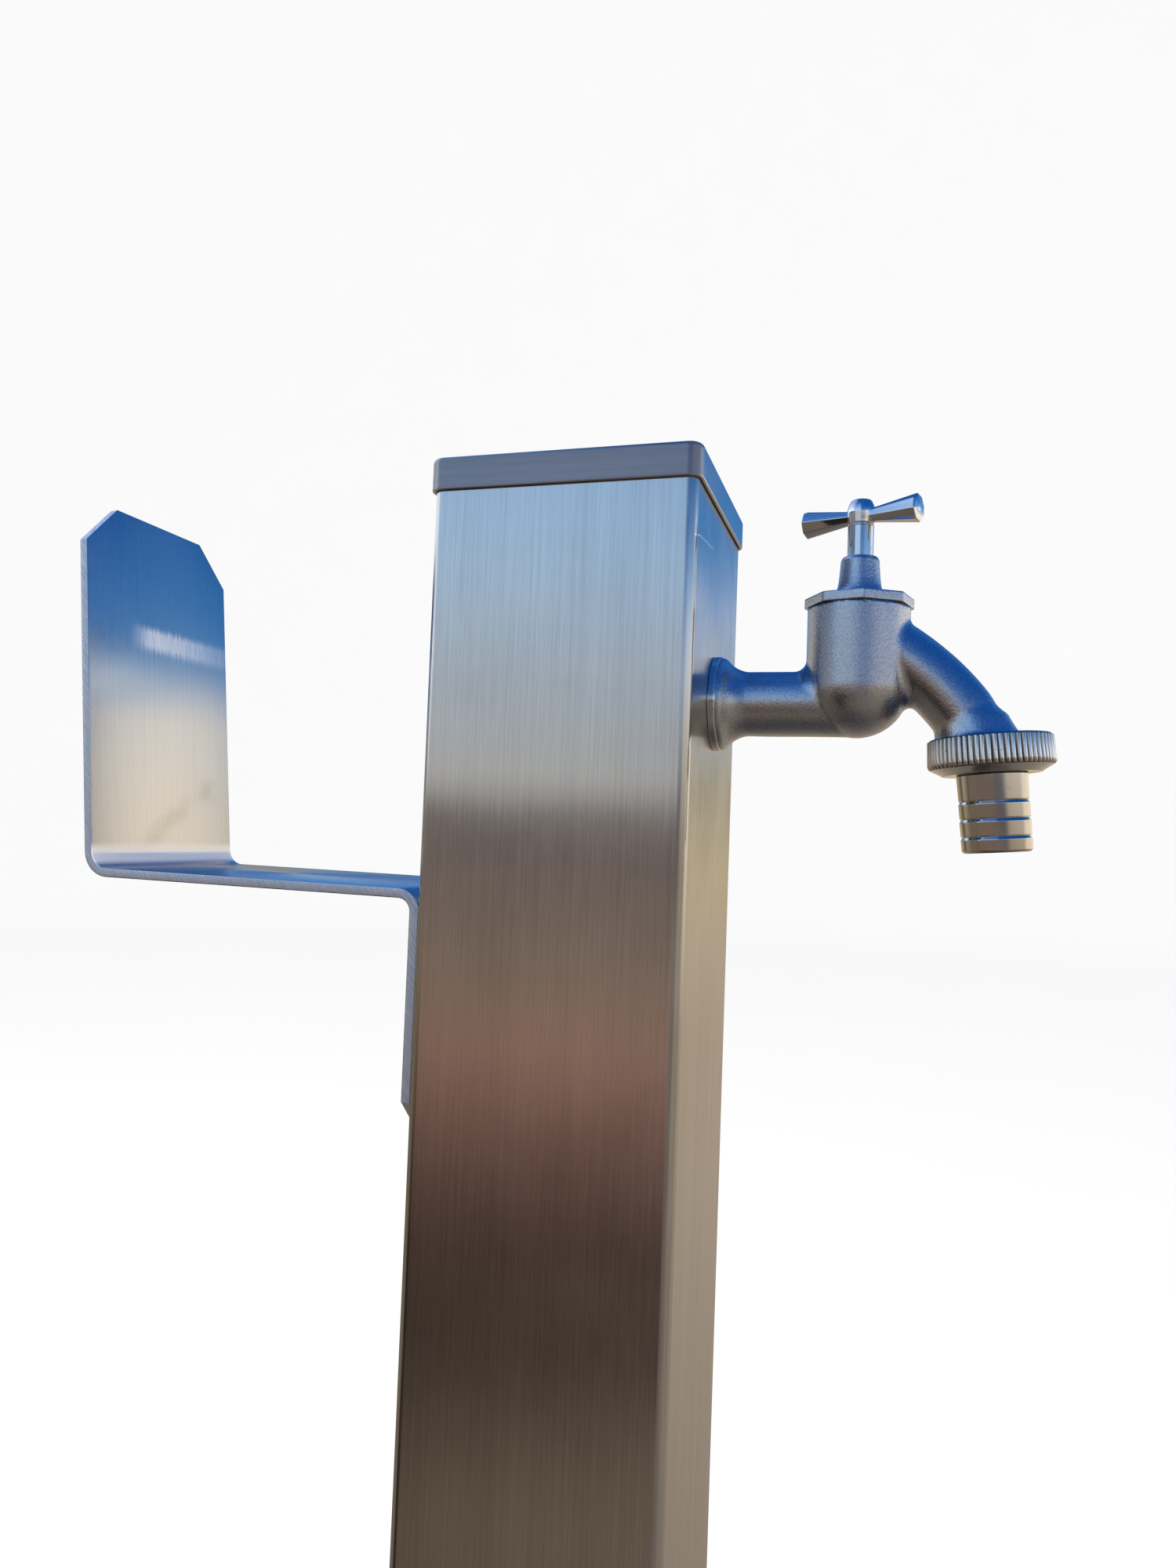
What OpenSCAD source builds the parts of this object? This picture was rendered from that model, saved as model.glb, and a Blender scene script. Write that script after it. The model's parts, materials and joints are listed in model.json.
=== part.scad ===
// Garden standpipe: a square brushed post on a base plate, with a bib tap on one face
// and a bent hose bracket on the opposite face.
// Millimetres. +Z is up, the origin is on the ground at the centre of the post.
// The tap leaves the post towards +X, the hose bracket towards -X.

/* [Post] */
// Outside width of the square post
post_w = 80; // [72:1:110]
// Wall of the post
post_wall = 2; // [1:0.5:2.5]
// Outside corner radius of the post
post_corner_r = 3; // [3:0.5:8]
// Height of the whole stand, from the ground to the top of the cap
stand_h = 1000; // [700:10:1400]

/* [Base] */
// Width of the base plate beyond each face of the post
base_margin = 35; // [28:1:80]
// Thickness of the base plate
base_t = 6; // [4:1:12]
// Corner radius of the base plate
base_corner_r = 8; // [2:1:12]
// Diameter of the four anchor holes
anchor_hole_d = 11; // [7:1:14]
// Distance from an anchor hole's centre to the plate's two edges
anchor_inset = 15; // [12:1:17]
// Diameter of the base plate's hole for the supply pipe
supply_hole_d = 40; // [38:1:50]
// Leg of the weld bead round the post
weld_leg = 3; // [2:0.5:5]

/* [Cap] */
// Sheet thickness of the cap
cap_sheet = 1; // [0.8:0.1:1.5]
// Gap between the cap's skirt and the post
cap_gap = 0.3; // [0.2:0.1:0.8]
// Height of the cap, top included
cap_h = 10; // [8:0.5:30]
// Radius along the cap's top edges
cap_edge_r = 1.6; // [1.6:0.1:3]
// Width of each spring clip under the cap
clip_w = 20; // [10:1:40]
// Length of each clip's leg and foot
clip_len = 14; // [10:1:25]
// Sheet thickness of the clips
clip_t = 0.8; // [0.5:0.1:1.2]

/* [Hose bracket] */
// Width of the bent plate
bracket_w = 75.5; // [50:0.5:100]
// Thickness of the bent plate
bracket_t = 3; // [2:0.5:4]
// Depth of the arm's top surface at the post, below the top of the stand
bracket_drop = 129; // [80:1:300]
// Length of the arm, from the post to the upright's inner face
bracket_reach = 117; // [60:1:220]
// Length of the upright above the arm's top surface
upright_h = 124; // [60:1:200]
// Length of the flange that lies on the post, below the arm's top surface
flange_h = 77; // [70:1:120]
// Chamfer at the four free corners, measured across the plate
chamfer_across = 15; // [5:0.5:20]
// Chamfer at the four free corners, measured along the plate
chamfer_along = 14.4; // [5:0.2:20]
// Inner bend radius between the arm and the upright
upright_bend_r = 6; // [2:0.5:12]
// Inner bend radius between the arm and the flange
flange_bend_r = 4; // [2:0.5:8]
// Slope of the arm, rising outwards, in degrees
arm_rise = 0.7; // [0:0.1:5]
// Lean of the upright, outwards, in degrees
upright_lean = 5.1; // [0:0.1:12]
// Depth of the upper fixing screw below the arm's top surface
screw_drop = 26; // [22:1:30]
// Distance between the two fixing screws
screw_pitch = 28; // [20:1:32]
// Thread diameter of the fixing screws
screw_d = 6; // [4:1:8]

/* [Tap outside] */
// Depth of the tap's inlet axis below the top of the stand
tap_drop = 69; // [50:1:300]
// Diameter of the rosette between tap and post
rosette_d = 29.2; // [28.6:0.1:40]
// Thickness of the rosette
rosette_t = 2.3; // [1.5:0.1:4]
// Diameter of the casting's inlet flange
inlet_flange_d = 28.4; // [25:0.2:28.4]
// Length of the inlet flange's straight rim
inlet_rim_len = 1.4; // [0.8:0.1:3]
// Length of the inlet flange's cone
inlet_cone_len = 3.3; // [2:0.1:6]
// Outside diameter of the inlet pipe
pipe_d = 19.8; // [18:0.1:22]
// Distance from the post to the axis of the valve chamber
body_reach = 42.8; // [40:0.1:48]
// Outside diameter of the valve chamber
body_d = 30.2; // [29:0.1:34]
// Height of the valve chamber's top above the inlet axis
body_top = 28.7; // [27:0.1:32]
// Outside diameter of the spout
spout_d = 18.8; // [17:0.1:19.6]
// Distance from the post to the outlet axis, at the union nut's top
outlet_reach = 80.4; // [79:0.1:83]
// Depth of the union nut's top below the inlet axis
outlet_drop = 9.5; // [8:0.1:12]
// Tilt of the outlet, its lower end outwards, in degrees
outlet_tilt = 4.8; // [0:0.1:8]
// Diameter of the outlet thread
outlet_thread_d = 26.4; // [24:0.1:27]

/* [Headwork] */
// Width across the flats of the bonnet's octagon
octagon_af = 30; // [29:0.5:34]
// Thickness of the bonnet's octagon
octagon_t = 2.6; // [2:0.1:4]
// Turn of the bonnet about its axis, in degrees
bonnet_turn = 5; // [0:1:45]
// Height of the bonnet's neck above the octagon
neck_h = 12.7; // [11.4:0.1:20]
// Diameter of the neck at its foot
neck_foot_d = 12.7; // [12:0.1:16]
// Diameter of the neck below its top chamfer
neck_top_d = 11; // [10.6:0.1:12]
// Diameter of the spindle's stem
stem_d = 7.7; // [7.2:0.1:8.2]
// Length of stem that shows between the bonnet and the handle
stem_show = 9.3; // [5:0.1:14]
// Diameter of the spindle's thread
spindle_thread_d = 9.6; // [9.2:0.1:10.6]
// Gap between a thread, stem or shank and its bore, on the radius
running_gap = 0.06; // [0.02:0.01:0.09]

/* [Handle] */
// Length of the T-handle over both arms
handle_len = 36.6; // [28:0.2:60]
// Turn of the handle about the spindle at rest, in degrees
handle_turn = -22.3; // [-90:0.1:90]
// Diameter of the handle's hub
hub_d = 8.6; // [8.4:0.1:13]
// Height of the handle's hub
hub_h = 7.8; // [7.4:0.1:12]
// Width across the flats of an arm where it leaves the hub
arm_root_af = 4.2; // [3:0.1:5]
// Width across the flats of an arm at its end
arm_end_af = 7.9; // [5:0.1:8.6]

/* [Union nut and nozzle] */
// Outside diameter of the union nut over its knurl
nut_d = 35.5; // [34:0.1:42]
// Height of the nut's knurled band
knurl_h = 8.2; // [7:0.1:12]
// Height of the nut's lower chamfer
nut_chamfer_h = 2.6; // [1.5:0.1:4]
// Number of ridges round the nut
knurl_count = 72; // [36:1:96]
// Outside diameter of the nozzle
nozzle_d = 19.5; // [18.4:0.1:21]
// Bore of the nozzle
nozzle_bore_d = 15; // [12:0.1:16]
// Length of the nozzle below the union nut
nozzle_len = 22.6; // [21:0.1:40]
// Number of barbs on the nozzle
barb_count = 3; // [1:1:4]
// Distance between two barbs
barb_pitch = 5.1; // [4:0.1:5.1]
// Step of a barb, on the radius
barb_step = 0.55; // [0.2:0.05:0.8]

/* [Supply inside the post] */
// Outside diameter of the riser pipe
riser_d = 16; // [12:1:17]
// Wall of the riser pipe
riser_wall = 1.5; // [1:0.1:2.5]
// Length of the tap's threaded shank behind the post's face
shank_len = 24; // [20:1:30]
// Diameter of the tap's threaded shank
shank_d = 20.9; // [19:0.1:22]
// Width across the flats of the backnut
backnut_af = 30; // [28:1:36]
// Length of the female thread in the supply coupling
coupling_thread_len = 15; // [10:1:20]

/* [Hidden] */
$fn = 72;

// Overrun of every cut past the face that it opens
cut = 1;
// Colours, as they look in daylight
steel_colour = [0.66, 0.67, 0.68];
satin_colour = [0.60, 0.60, 0.60];
chrome_colour = [0.78, 0.79, 0.80];
brass_colour = [0.78, 0.62, 0.32];
rubber_colour = [0.10, 0.10, 0.11];
fibre_colour = [0.55, 0.20, 0.14];
pipe_colour = [0.30, 0.32, 0.34];

// Post, base and cap
face_x = post_w / 2;
post_inside_r = post_corner_r - post_wall;
post_inside_w = post_w - 2 * post_wall;
post_top = stand_h - cap_sheet;
post_h = post_top - base_t;
base_w = post_w + 2 * base_margin;
anchor_pitch = base_w - 2 * anchor_inset;
cap_w = post_w + 2 * (cap_gap + cap_sheet);
cap_corner_r = post_corner_r + cap_gap + cap_sheet;
clip_gap = 0.2;

// Hose bracket, as distances out from the post and up from the arm's top surface
arm_z = stand_h - bracket_drop;
flange_arc_centre = [
    flange_bend_r + bracket_t,
    -(flange_bend_r + bracket_t) * (cos(arm_rise) - (1 - sin(arm_rise)) * tan(arm_rise))
];
upright_turn = 90 - upright_lean - arm_rise;
upright_tangent = upright_bend_r * tan(upright_turn / 2);
upright_corner = [bracket_reach * cos(arm_rise), bracket_reach * sin(arm_rise)];
arm_end = upright_corner - upright_tangent * [cos(arm_rise), sin(arm_rise)];
upright_start = upright_corner + upright_tangent * [sin(upright_lean), cos(upright_lean)];
upright_arc_centre = arm_end + upright_bend_r * [-sin(arm_rise), cos(arm_rise)];
upright_len = upright_h - upright_tangent;
upright_end = upright_start + upright_len * [sin(upright_lean), cos(upright_lean)];
bend_steps = 12;
screw_clear = 0.3;
head_af_share = 1.67;
head_h_share = 0.67;
screw_head_af = head_af_share * screw_d;
screw_head_h = head_h_share * screw_d;
screw_len = 16;
washer_d = 2 * screw_d;
washer_t = 1.6;
rivet_sleeve = 1.5;
rivet_bulge = 2;
rivet_bulge_t = 0.6;
rivet_d = screw_d + 2 * rivet_sleeve;
rivet_len = 12;
rivet_gap = 0.05;

// Union nut and nozzle, as depths below the nut's top along the outlet axis
nut_h = knurl_h + nut_chamfer_h;
nut_lip = 1.6;
nozzle_flange_t = 1.4;
outlet_gasket_t = 0.8;
shank_relief = 0.25;
nut_hole_gap = 0.3;
knurl_depth = 0.55;
knurl_floor_share = 0.36;
knurl_crest_share = 0.30;
nut_edge = 0.4;
nut_foot_inset = 4;
flange_play = 0.1;
nozzle_flange_d = outlet_thread_d - 2 * flange_play;
last_barb_len = 4.8;
first_barb = nozzle_len - (barb_count - 1) * barb_pitch - last_barb_len;
barb_taper = 0.2;
barb_cone_h = 1.3;
nozzle_tip_r = 0.6;

// Tap casting, as distances from the post's face and from the inlet axis
tap_z = stand_h - tap_drop;
bowl_r = body_d / 2;
bowl_drop = 0.2;
bowl_z = bowl_r - pipe_d / 2 - bowl_drop;
chamber_d = 21;
inlet_bore_d = 12.6;
seat_z = 9;
seat_d = 16;
seat_bore_d = 11;
seat_groove = 2.5;
chamber_floor = seat_z - seat_groove;
spout_wall = 3.2;
spout_bore_d = spout_d - 2 * spout_wall;
outlet_bore_d = 17;
outlet_roof = 1.2;
throat_d = 10;
throat_inset = 4.4;
// Spout centre line: a wide arc out of the chamber, then a tight one down to the outlet
wide_arc_r = 80;
spout_top_margin = 0.5;
spout_heading_knee = -52;
spout_heading_end = outlet_tilt - 90;
knee_step = 0.05;
knee_inset = 8.4;
knee_rise = 8;
collar_rise = 0.3;
spout_end_rise = 0.8;
spout_end_turn = spout_heading_knee - spout_heading_end;
tight_arc_r = (knee_rise * cos(outlet_tilt) + knee_inset * sin(outlet_tilt) - spout_end_rise)
    / sin(spout_end_turn);
knee = [outlet_reach - knee_inset, knee_rise - outlet_drop];
wide_arc_centre = knee + wide_arc_r * [sin(spout_heading_knee), -cos(spout_heading_knee)];
tight_arc_centre = knee + tight_arc_r * [sin(spout_heading_knee), -cos(spout_heading_knee)];
spout_heading_start = -acos(
    (body_top - spout_top_margin - wide_arc_centre[1]) / (wide_arc_r + spout_d / 2)
);
foot_inset = 3.8;
foot_low_d = 23;
foot_high_d = 15;
foot_h = 5.5;
outlet_thread_len = nut_h - nut_lip - nozzle_flange_t - outlet_gasket_t;
thread_pitch = 1.8;
thread_depth = 0.9;
thread_crest_share = 0.25;
thread_turns = floor((outlet_thread_len - thread_pitch / 2) / thread_pitch);

// Headwork, as heights above the inlet axis
gasket_t = 0.4;
octagon_z = body_top + gasket_t;
neck_z = octagon_z + octagon_t;
neck_top = neck_z + neck_h;
neck_chamfer = 1.1;
neck_flare_h = 1.4;
neck_flare = 1.6;
gasket_inset = 0.2;
valve_lift = 6;
lift_room = 0.2;
stem_recess_w = 0.6;
stem_recess_h = 0.8;
jumper_disc_t = 2;
washer_rubber_t = 2.5;
washer_rubber_d = 15;
jumper_z = seat_z + washer_rubber_t;
spindle_bottom = jumper_z + jumper_disc_t;
spindle_thread_len = 11;
bonnet_bottom = spindle_bottom + valve_lift + lift_room;
spindle_thread_top = spindle_bottom + spindle_thread_len;
thread_room_top = spindle_thread_top + valve_lift + running_gap;
hub_bottom = neck_top + stem_show;
hub_top = hub_bottom + hub_h;
stem_square = 4.8;
square_gap = 0.06;
hub_web = 2.6;
square_top = hub_top - hub_web;
jumper_stem_d = 5;
jumper_stem_len = 7;
jumper_stud_d = 3;
washer_nut_d = 8;
washer_nut_h = 2.4;
ring_d = 1;
ring_squeeze = 0.04;
ring_groove_depth = 1.1;
ring_groove_w = 1.3;
ring_count = 2;
ring_pitch = 3.2;
ring_top_drop = valve_lift + stem_recess_h + ring_groove_w;

// Handle
handle_screw_d = 3;
handle_head_d = 5;
handle_head_h = 1.4;
handle_screw_len = 7;
slot_share = 0.17;
hub_chamfer = 1.2;
hub_rim = 0.25;
hub_rim_h = 0.9;
arm_axis_h = 3.3;
arm_end_chamfer = 0.9;
arm_root_inset = 1.4;

// Supply line inside the post
shank_hole_d = shank_d + 1;
backnut_washer_t = 1.5;
washer_margin = 1;
backnut_washer_d = backnut_af + 2 * washer_margin;
backnut_h = 6;
elbow_gap = 3;
elbow_mouth = -post_wall - backnut_washer_t - backnut_h - elbow_gap;
elbow_d = 27;
elbow_drop = 26;
elbow_bore_d = riser_d - 2 * riser_wall;
pipe_nut_h = 13;
pipe_nut_wall = 4.5;
pipe_nut_af = riser_d + 2 * pipe_nut_wall;
pipe_gap = 0.08;
riser_insert = 10;
olive_wall = 1.5;
olive_edge = 0.5;
olive_d = riser_d + 2 * olive_wall;
olive_h = 5;
coupling_d = 30;
coupling_bore_d = 18.6;
coupling_mouth = 2;
coupling_web = 4;
coupling_top = coupling_mouth + coupling_thread_len + coupling_web + riser_insert;
grommet_lip = 3;
grommet_lip_t = 2;
riser_bottom = coupling_top - riser_insert;
riser_top = tap_z - elbow_drop + riser_insert;

// Square with four round corners, centred
module round_square(w, r) {
    inner = w - 2 * r;
    square([w, inner], center = true);
    square([inner, w], center = true);
    for (sx = [-1, 1], sy = [-1, 1])
        translate([sx * inner / 2, sy * inner / 2]) circle(r);
}

// Right half of a disc
module half_disc(r) {
    intersection() {
        circle(r);
        translate([0, -r]) square([r, 2 * r]);
    }
}

// Ring on the Z axis
module ring(outer_d, inner_d, h) {
    difference() {
        cylinder(d = outer_d, h = h);
        translate([0, 0, -cut]) cylinder(d = inner_d, h = h + 2 * cut);
    }
}

// Hexagon on the Z axis with a round hole
module hex_ring(af, inner_d, h) {
    difference() {
        cylinder(d = af / cos(30), h = h, $fn = 6);
        translate([0, 0, -cut]) cylinder(d = inner_d, h = h + 2 * cut);
    }
}

// Places a child on the tap's inlet axis, with the post's face at X = 0
module at_tap() {
    translate([face_x, 0, tap_z]) children();
}

// Places a child on the valve chamber's vertical axis
module at_valve() {
    translate([face_x + body_reach, 0, tap_z]) children();
}

// Places a child on the outlet axis, with the union nut's top at Z = 0
module at_outlet() {
    at_tap() translate([outlet_reach, 0, -outlet_drop]) rotate([0, -outlet_tilt, 0]) children();
}

// Stands a drawing in X and Y up into X and Z
module upright_plane() {
    rotate([90, 0, 0]) children();
}

// Base plate with anchor holes and supply hole
module base_plate() {
    color(steel_colour) difference() {
        linear_extrude(base_t) round_square(base_w, base_corner_r);
        for (sx = [-1, 1], sy = [-1, 1])
            translate([sx * anchor_pitch / 2, sy * anchor_pitch / 2, -cut])
                cylinder(d = anchor_hole_d, h = base_t + 2 * cut);
        translate([0, 0, -cut]) cylinder(d = supply_hole_d, h = base_t + 2 * cut);
    }
}

// Weld bead along the post's foot, a quarter round in section
module base_weld() {
    straight = post_w - 2 * post_corner_r;
    color(satin_colour) translate([0, 0, base_t]) difference() {
        union() {
            for (side = [0 : 3]) rotate([0, 0, 90 * side]) {
                translate([face_x, straight / 2, 0]) rotate([90, 0, 0])
                    cylinder(r = weld_leg, h = straight);
                translate([straight / 2, straight / 2, 0]) rotate_extrude(angle = 90)
                    translate([post_corner_r, 0]) half_disc(weld_leg);
            }
        }
        translate([0, 0, -weld_leg - cut]) linear_extrude(2 * weld_leg + 2 * cut)
            round_square(post_w, post_corner_r);
        translate([-base_w / 2, -base_w / 2, -weld_leg - cut])
            cube([base_w, base_w, weld_leg + cut]);
    }
}

// Square post tube with the tap's hole and the two rivet nut holes
module post_tube() {
    color(steel_colour) difference() {
        translate([0, 0, base_t]) linear_extrude(post_h) difference() {
            round_square(post_w, post_corner_r);
            round_square(post_inside_w, post_inside_r);
        }
        translate([face_x - post_wall - cut, 0, tap_z]) rotate([0, 90, 0])
            cylinder(d = shank_hole_d, h = post_wall + 2 * cut);
        at_bracket_screws() translate([0, 0, -cut])
            cylinder(d = rivet_d, h = post_wall + 2 * cut);
    }
}

// Cap with round corners and a round top edge, hollow below
module post_cap() {
    inner_w = post_w + 2 * cap_gap;
    side = cap_w - 2 * cap_corner_r;
    color(steel_colour) difference() {
        translate([0, 0, stand_h - cap_h]) union() {
            linear_extrude(cap_h - cap_edge_r) round_square(cap_w, cap_corner_r);
            linear_extrude(cap_h)
                round_square(cap_w - 2 * cap_edge_r, cap_corner_r - cap_edge_r);
            translate([0, 0, cap_h - cap_edge_r]) for (turn = [0 : 3]) rotate([0, 0, 90 * turn]) {
                translate([cap_w / 2 - cap_edge_r, side / 2, 0]) rotate([90, 0, 0])
                    cylinder(r = cap_edge_r, h = side);
                translate([side / 2, side / 2, 0]) rotate_extrude(angle = 90)
                    translate([cap_corner_r - cap_edge_r, 0]) half_disc(cap_edge_r);
            }
        }
        translate([0, 0, stand_h - cap_h - cut]) linear_extrude(cap_h - cap_sheet + cut)
            round_square(inner_w, post_corner_r + cap_gap);
    }
}

// Two spring clips that hang from the cap inside the post
module cap_clips() {
    leg_x = post_inside_w / 2 - clip_gap - clip_t;
    color(satin_colour) for (turn = [0, 180]) rotate([0, 0, turn]) {
        translate([leg_x, -clip_w / 2, post_top - clip_len]) cube([clip_t, clip_w, clip_len]);
        translate([leg_x + clip_t - clip_len, -clip_w / 2, post_top - clip_t])
            cube([clip_len, clip_w, clip_t]);
    }
}

// Frame of the hose bracket: X out from the post, Y up, Z across the plate
module at_bracket() {
    translate([-face_x, 0, arm_z]) mirror([1, 0, 0]) upright_plane() children();
}

// Frame of each bracket screw: Z out of the post towards the screw's head
module at_bracket_screws() {
    for (row = [0, 1])
        translate([-face_x + post_wall, 0, arm_z - screw_drop - row * screw_pitch])
            rotate([0, -90, 0]) children();
}

// Points of a round stretch about a centre, from one angle to another
function arc_points(centre, r, from, to) = [
    for (n = [0 : bend_steps]) let (angle = from + (to - from) * n / bend_steps)
        centre + r * [cos(angle), sin(angle)]
];

// Cutters for the two free corners at the end of a run of the plate
module corner_cutters(start, angle, length) {
    reach = chamfer_across + chamfer_along;
    translate([start[0], start[1], 0]) rotate([0, 0, angle])
        translate([length, cut, 0]) rotate([90, 0, 0]) for (side = [0, 1]) mirror([0, side, 0])
            translate([0, bracket_w / 2, 0]) linear_extrude(bracket_t + 2 * cut) polygon([
                [-2 * chamfer_along, chamfer_across], [chamfer_along, -2 * chamfer_across],
                [reach, -2 * chamfer_across], [reach, reach], [-2 * chamfer_along, reach]
            ]);
}

// Bent plate that carries the coiled hose
module hose_bracket() {
    color(steel_colour) difference() {
        at_bracket() difference() {
            linear_extrude(bracket_w, center = true) polygon(concat(
                [[bracket_t, -flange_h], [0, -flange_h]],
                arc_points(flange_arc_centre, flange_bend_r + bracket_t, 180, 90 + arm_rise),
                arc_points(upright_arc_centre, upright_bend_r, arm_rise - 90, -upright_lean),
                [upright_end, upright_end + bracket_t * [cos(upright_lean), -sin(upright_lean)]],
                arc_points(
                    upright_arc_centre, upright_bend_r + bracket_t, -upright_lean, arm_rise - 90
                ),
                arc_points(flange_arc_centre, flange_bend_r, 90 + arm_rise, 180)
            ));
            corner_cutters(upright_start, 90 - upright_lean, upright_len);
            corner_cutters([bracket_t, 0], -90, flange_h);
        }
        at_bracket_screws() translate([0, 0, post_wall - cut])
            cylinder(d = screw_d + 2 * screw_clear, h = bracket_t + 2 * cut);
    }
}

// Hexagon screws of the bracket, their heads outside
module bracket_screws() {
    head_z = post_wall + bracket_t + washer_t;
    color(chrome_colour) at_bracket_screws() {
        translate([0, 0, head_z]) cylinder(d = screw_head_af / cos(30), h = screw_head_h, $fn = 6);
        translate([0, 0, head_z - screw_len]) cylinder(d = screw_d, h = screw_len);
    }
}

// Flat washers under the screw heads
module bracket_washers() {
    color(chrome_colour) at_bracket_screws() translate([0, 0, post_wall + bracket_t])
        ring(washer_d, screw_d + 2 * screw_clear, washer_t);
}

// Rivet nuts in the post's wall, each with its bulge inside the post
module bracket_rivet_nuts() {
    color(steel_colour) at_bracket_screws() difference() {
        union() {
            translate([0, 0, -rivet_len])
                cylinder(d = rivet_d - 2 * rivet_gap, h = rivet_len + post_wall);
            translate([0, 0, -rivet_bulge_t]) cylinder(d = rivet_d + 2 * rivet_bulge, h = rivet_bulge_t);
        }
        translate([0, 0, -rivet_len - cut])
            cylinder(d = screw_d + 2 * rivet_gap, h = rivet_len + post_wall + 2 * cut);
    }
}

// Rubber grommet in the base plate, round the supply coupling
module supply_grommet() {
    color(rubber_colour) difference() {
        union() {
            cylinder(d = supply_hole_d - 2 * rivet_gap, h = base_t);
            translate([0, 0, base_t])
                cylinder(d = supply_hole_d + 2 * grommet_lip, h = grommet_lip_t);
        }
        translate([0, 0, -cut])
            cylinder(d = coupling_d + 2 * rivet_gap, h = base_t + grommet_lip_t + 2 * cut);
    }
}

// Coupling with a female thread below and the riser pipe's socket above
module supply_coupling() {
    color(brass_colour) difference() {
        translate([0, 0, coupling_mouth]) cylinder(d = coupling_d, h = coupling_top - coupling_mouth);
        translate([0, 0, coupling_mouth - cut])
            cylinder(d = coupling_bore_d, h = coupling_thread_len + cut);
        cylinder(d = riser_d - 2 * riser_wall, h = coupling_top);
        translate([0, 0, riser_bottom]) cylinder(d = riser_d + 2 * pipe_gap, h = riser_insert + cut);
    }
}

// Pipe nut above the coupling
module lower_pipe_nut() {
    color(brass_colour) translate([0, 0, coupling_top + pipe_nut_h]) mirror([0, 0, 1]) pipe_nut();
}

// Hexagon nut that pulls an olive against a fitting below it
module pipe_nut() {
    difference() {
        hex_ring(pipe_nut_af, riser_d + 2 * pipe_gap, pipe_nut_h);
        translate([0, 0, pipe_nut_h - olive_h - pipe_gap])
            cylinder(d = olive_d + 2 * pipe_gap, h = olive_h + pipe_gap + cut);
    }
}

// Olives inside the two pipe nuts
module pipe_olives() {
    color(brass_colour) {
        translate([0, 0, coupling_top]) olive();
        translate([0, 0, tap_z - elbow_drop - olive_h]) olive();
    }
}

// Tapered ring that seals on the riser pipe
module olive() {
    difference() {
        union() {
            cylinder(d1 = riser_d + 2 * olive_edge, d2 = olive_d, h = olive_h / 2);
            translate([0, 0, olive_h / 2])
                cylinder(d1 = olive_d, d2 = riser_d + 2 * olive_edge, h = olive_h / 2);
        }
        translate([0, 0, -cut]) cylinder(d = riser_d + 2 * pipe_gap, h = olive_h + 2 * cut);
    }
}

// Riser pipe from the supply coupling to the elbow
module riser_pipe() {
    color(pipe_colour) translate([0, 0, riser_bottom])
        ring(riser_d, riser_d - 2 * riser_wall, riser_top - riser_bottom);
}

// Pipe nut below the elbow
module elbow_pipe_nut() {
    color(brass_colour) translate([0, 0, tap_z - elbow_drop - pipe_nut_h]) pipe_nut();
}

// Elbow behind the tap: a socket for the tap's shank and one for the riser pipe
module inlet_elbow() {
    socket_len = face_x + elbow_mouth;
    shank_in = shank_len + elbow_mouth;
    color(brass_colour) translate([0, 0, tap_z]) difference() {
        union() {
            rotate([0, 90, 0]) cylinder(d = elbow_d, h = socket_len);
            sphere(d = elbow_d);
            translate([0, 0, -elbow_drop]) cylinder(d = elbow_d, h = elbow_drop);
        }
        translate([socket_len - shank_in, 0, 0]) rotate([0, 90, 0])
            cylinder(d = shank_d + 2 * running_gap, h = shank_in + cut);
        rotate([0, 90, 0]) cylinder(d = elbow_bore_d, h = socket_len);
        sphere(d = elbow_bore_d);
        translate([0, 0, -elbow_drop]) cylinder(d = elbow_bore_d, h = elbow_drop);
        translate([0, 0, -elbow_drop - cut])
            cylinder(d = riser_d + 2 * pipe_gap, h = riser_insert + cut);
    }
}

// Nut that clamps the tap to the post from inside
module backnut() {
    color(brass_colour) at_tap() translate([-post_wall - backnut_washer_t, 0, 0]) rotate([0, -90, 0])
        hex_ring(backnut_af, shank_d + 2 * running_gap, backnut_h);
}

// Fibre washer under the backnut
module backnut_washer() {
    color(fibre_colour) at_tap() translate([-post_wall, 0, 0]) rotate([0, -90, 0])
        ring(backnut_washer_d, shank_hole_d, backnut_washer_t);
}

// Polished ring between the post and the tap
module rosette() {
    color(chrome_colour) at_tap() rotate([0, 90, 0])
        ring(rosette_d, shank_d + 2 * running_gap, rosette_t);
}

// Solid outline of the tap's spout, from the chamber to above the outlet
module spout_sweep(d) {
    upright_plane() {
        translate([wide_arc_centre[0], wide_arc_centre[1], 0]) rotate([0, 0, spout_heading_knee + 90])
            rotate_extrude(angle = spout_heading_start - spout_heading_knee)
                translate([wide_arc_r, 0]) circle(d = d);
        translate([tight_arc_centre[0], tight_arc_centre[1], 0]) rotate([0, 0, spout_heading_end + 90])
            rotate_extrude(angle = spout_end_turn)
                translate([tight_arc_r, 0]) circle(d = d - knee_step);
    }
}

// Outlet collar with its thread as rings, the thread's end at the bottom
module outlet_thread() {
    root_d = outlet_thread_d - 2 * thread_depth;
    crest = thread_crest_share * thread_pitch;
    translate([0, 0, -outlet_thread_len]) cylinder(d = root_d, h = outlet_thread_len);
    translate([0, 0, -thread_pitch / 2])
        cylinder(d = outlet_thread_d, h = thread_pitch / 2 + collar_rise);
    for (turn = [1 : thread_turns])
        translate([0, 0, -turn * thread_pitch]) rotate_extrude() polygon([
            [0, -thread_pitch / 2], [root_d / 2, -thread_pitch / 2],
            [outlet_thread_d / 2, -crest / 2], [outlet_thread_d / 2, crest / 2],
            [root_d / 2, thread_pitch / 2], [0, thread_pitch / 2]
        ]);
}

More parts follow.
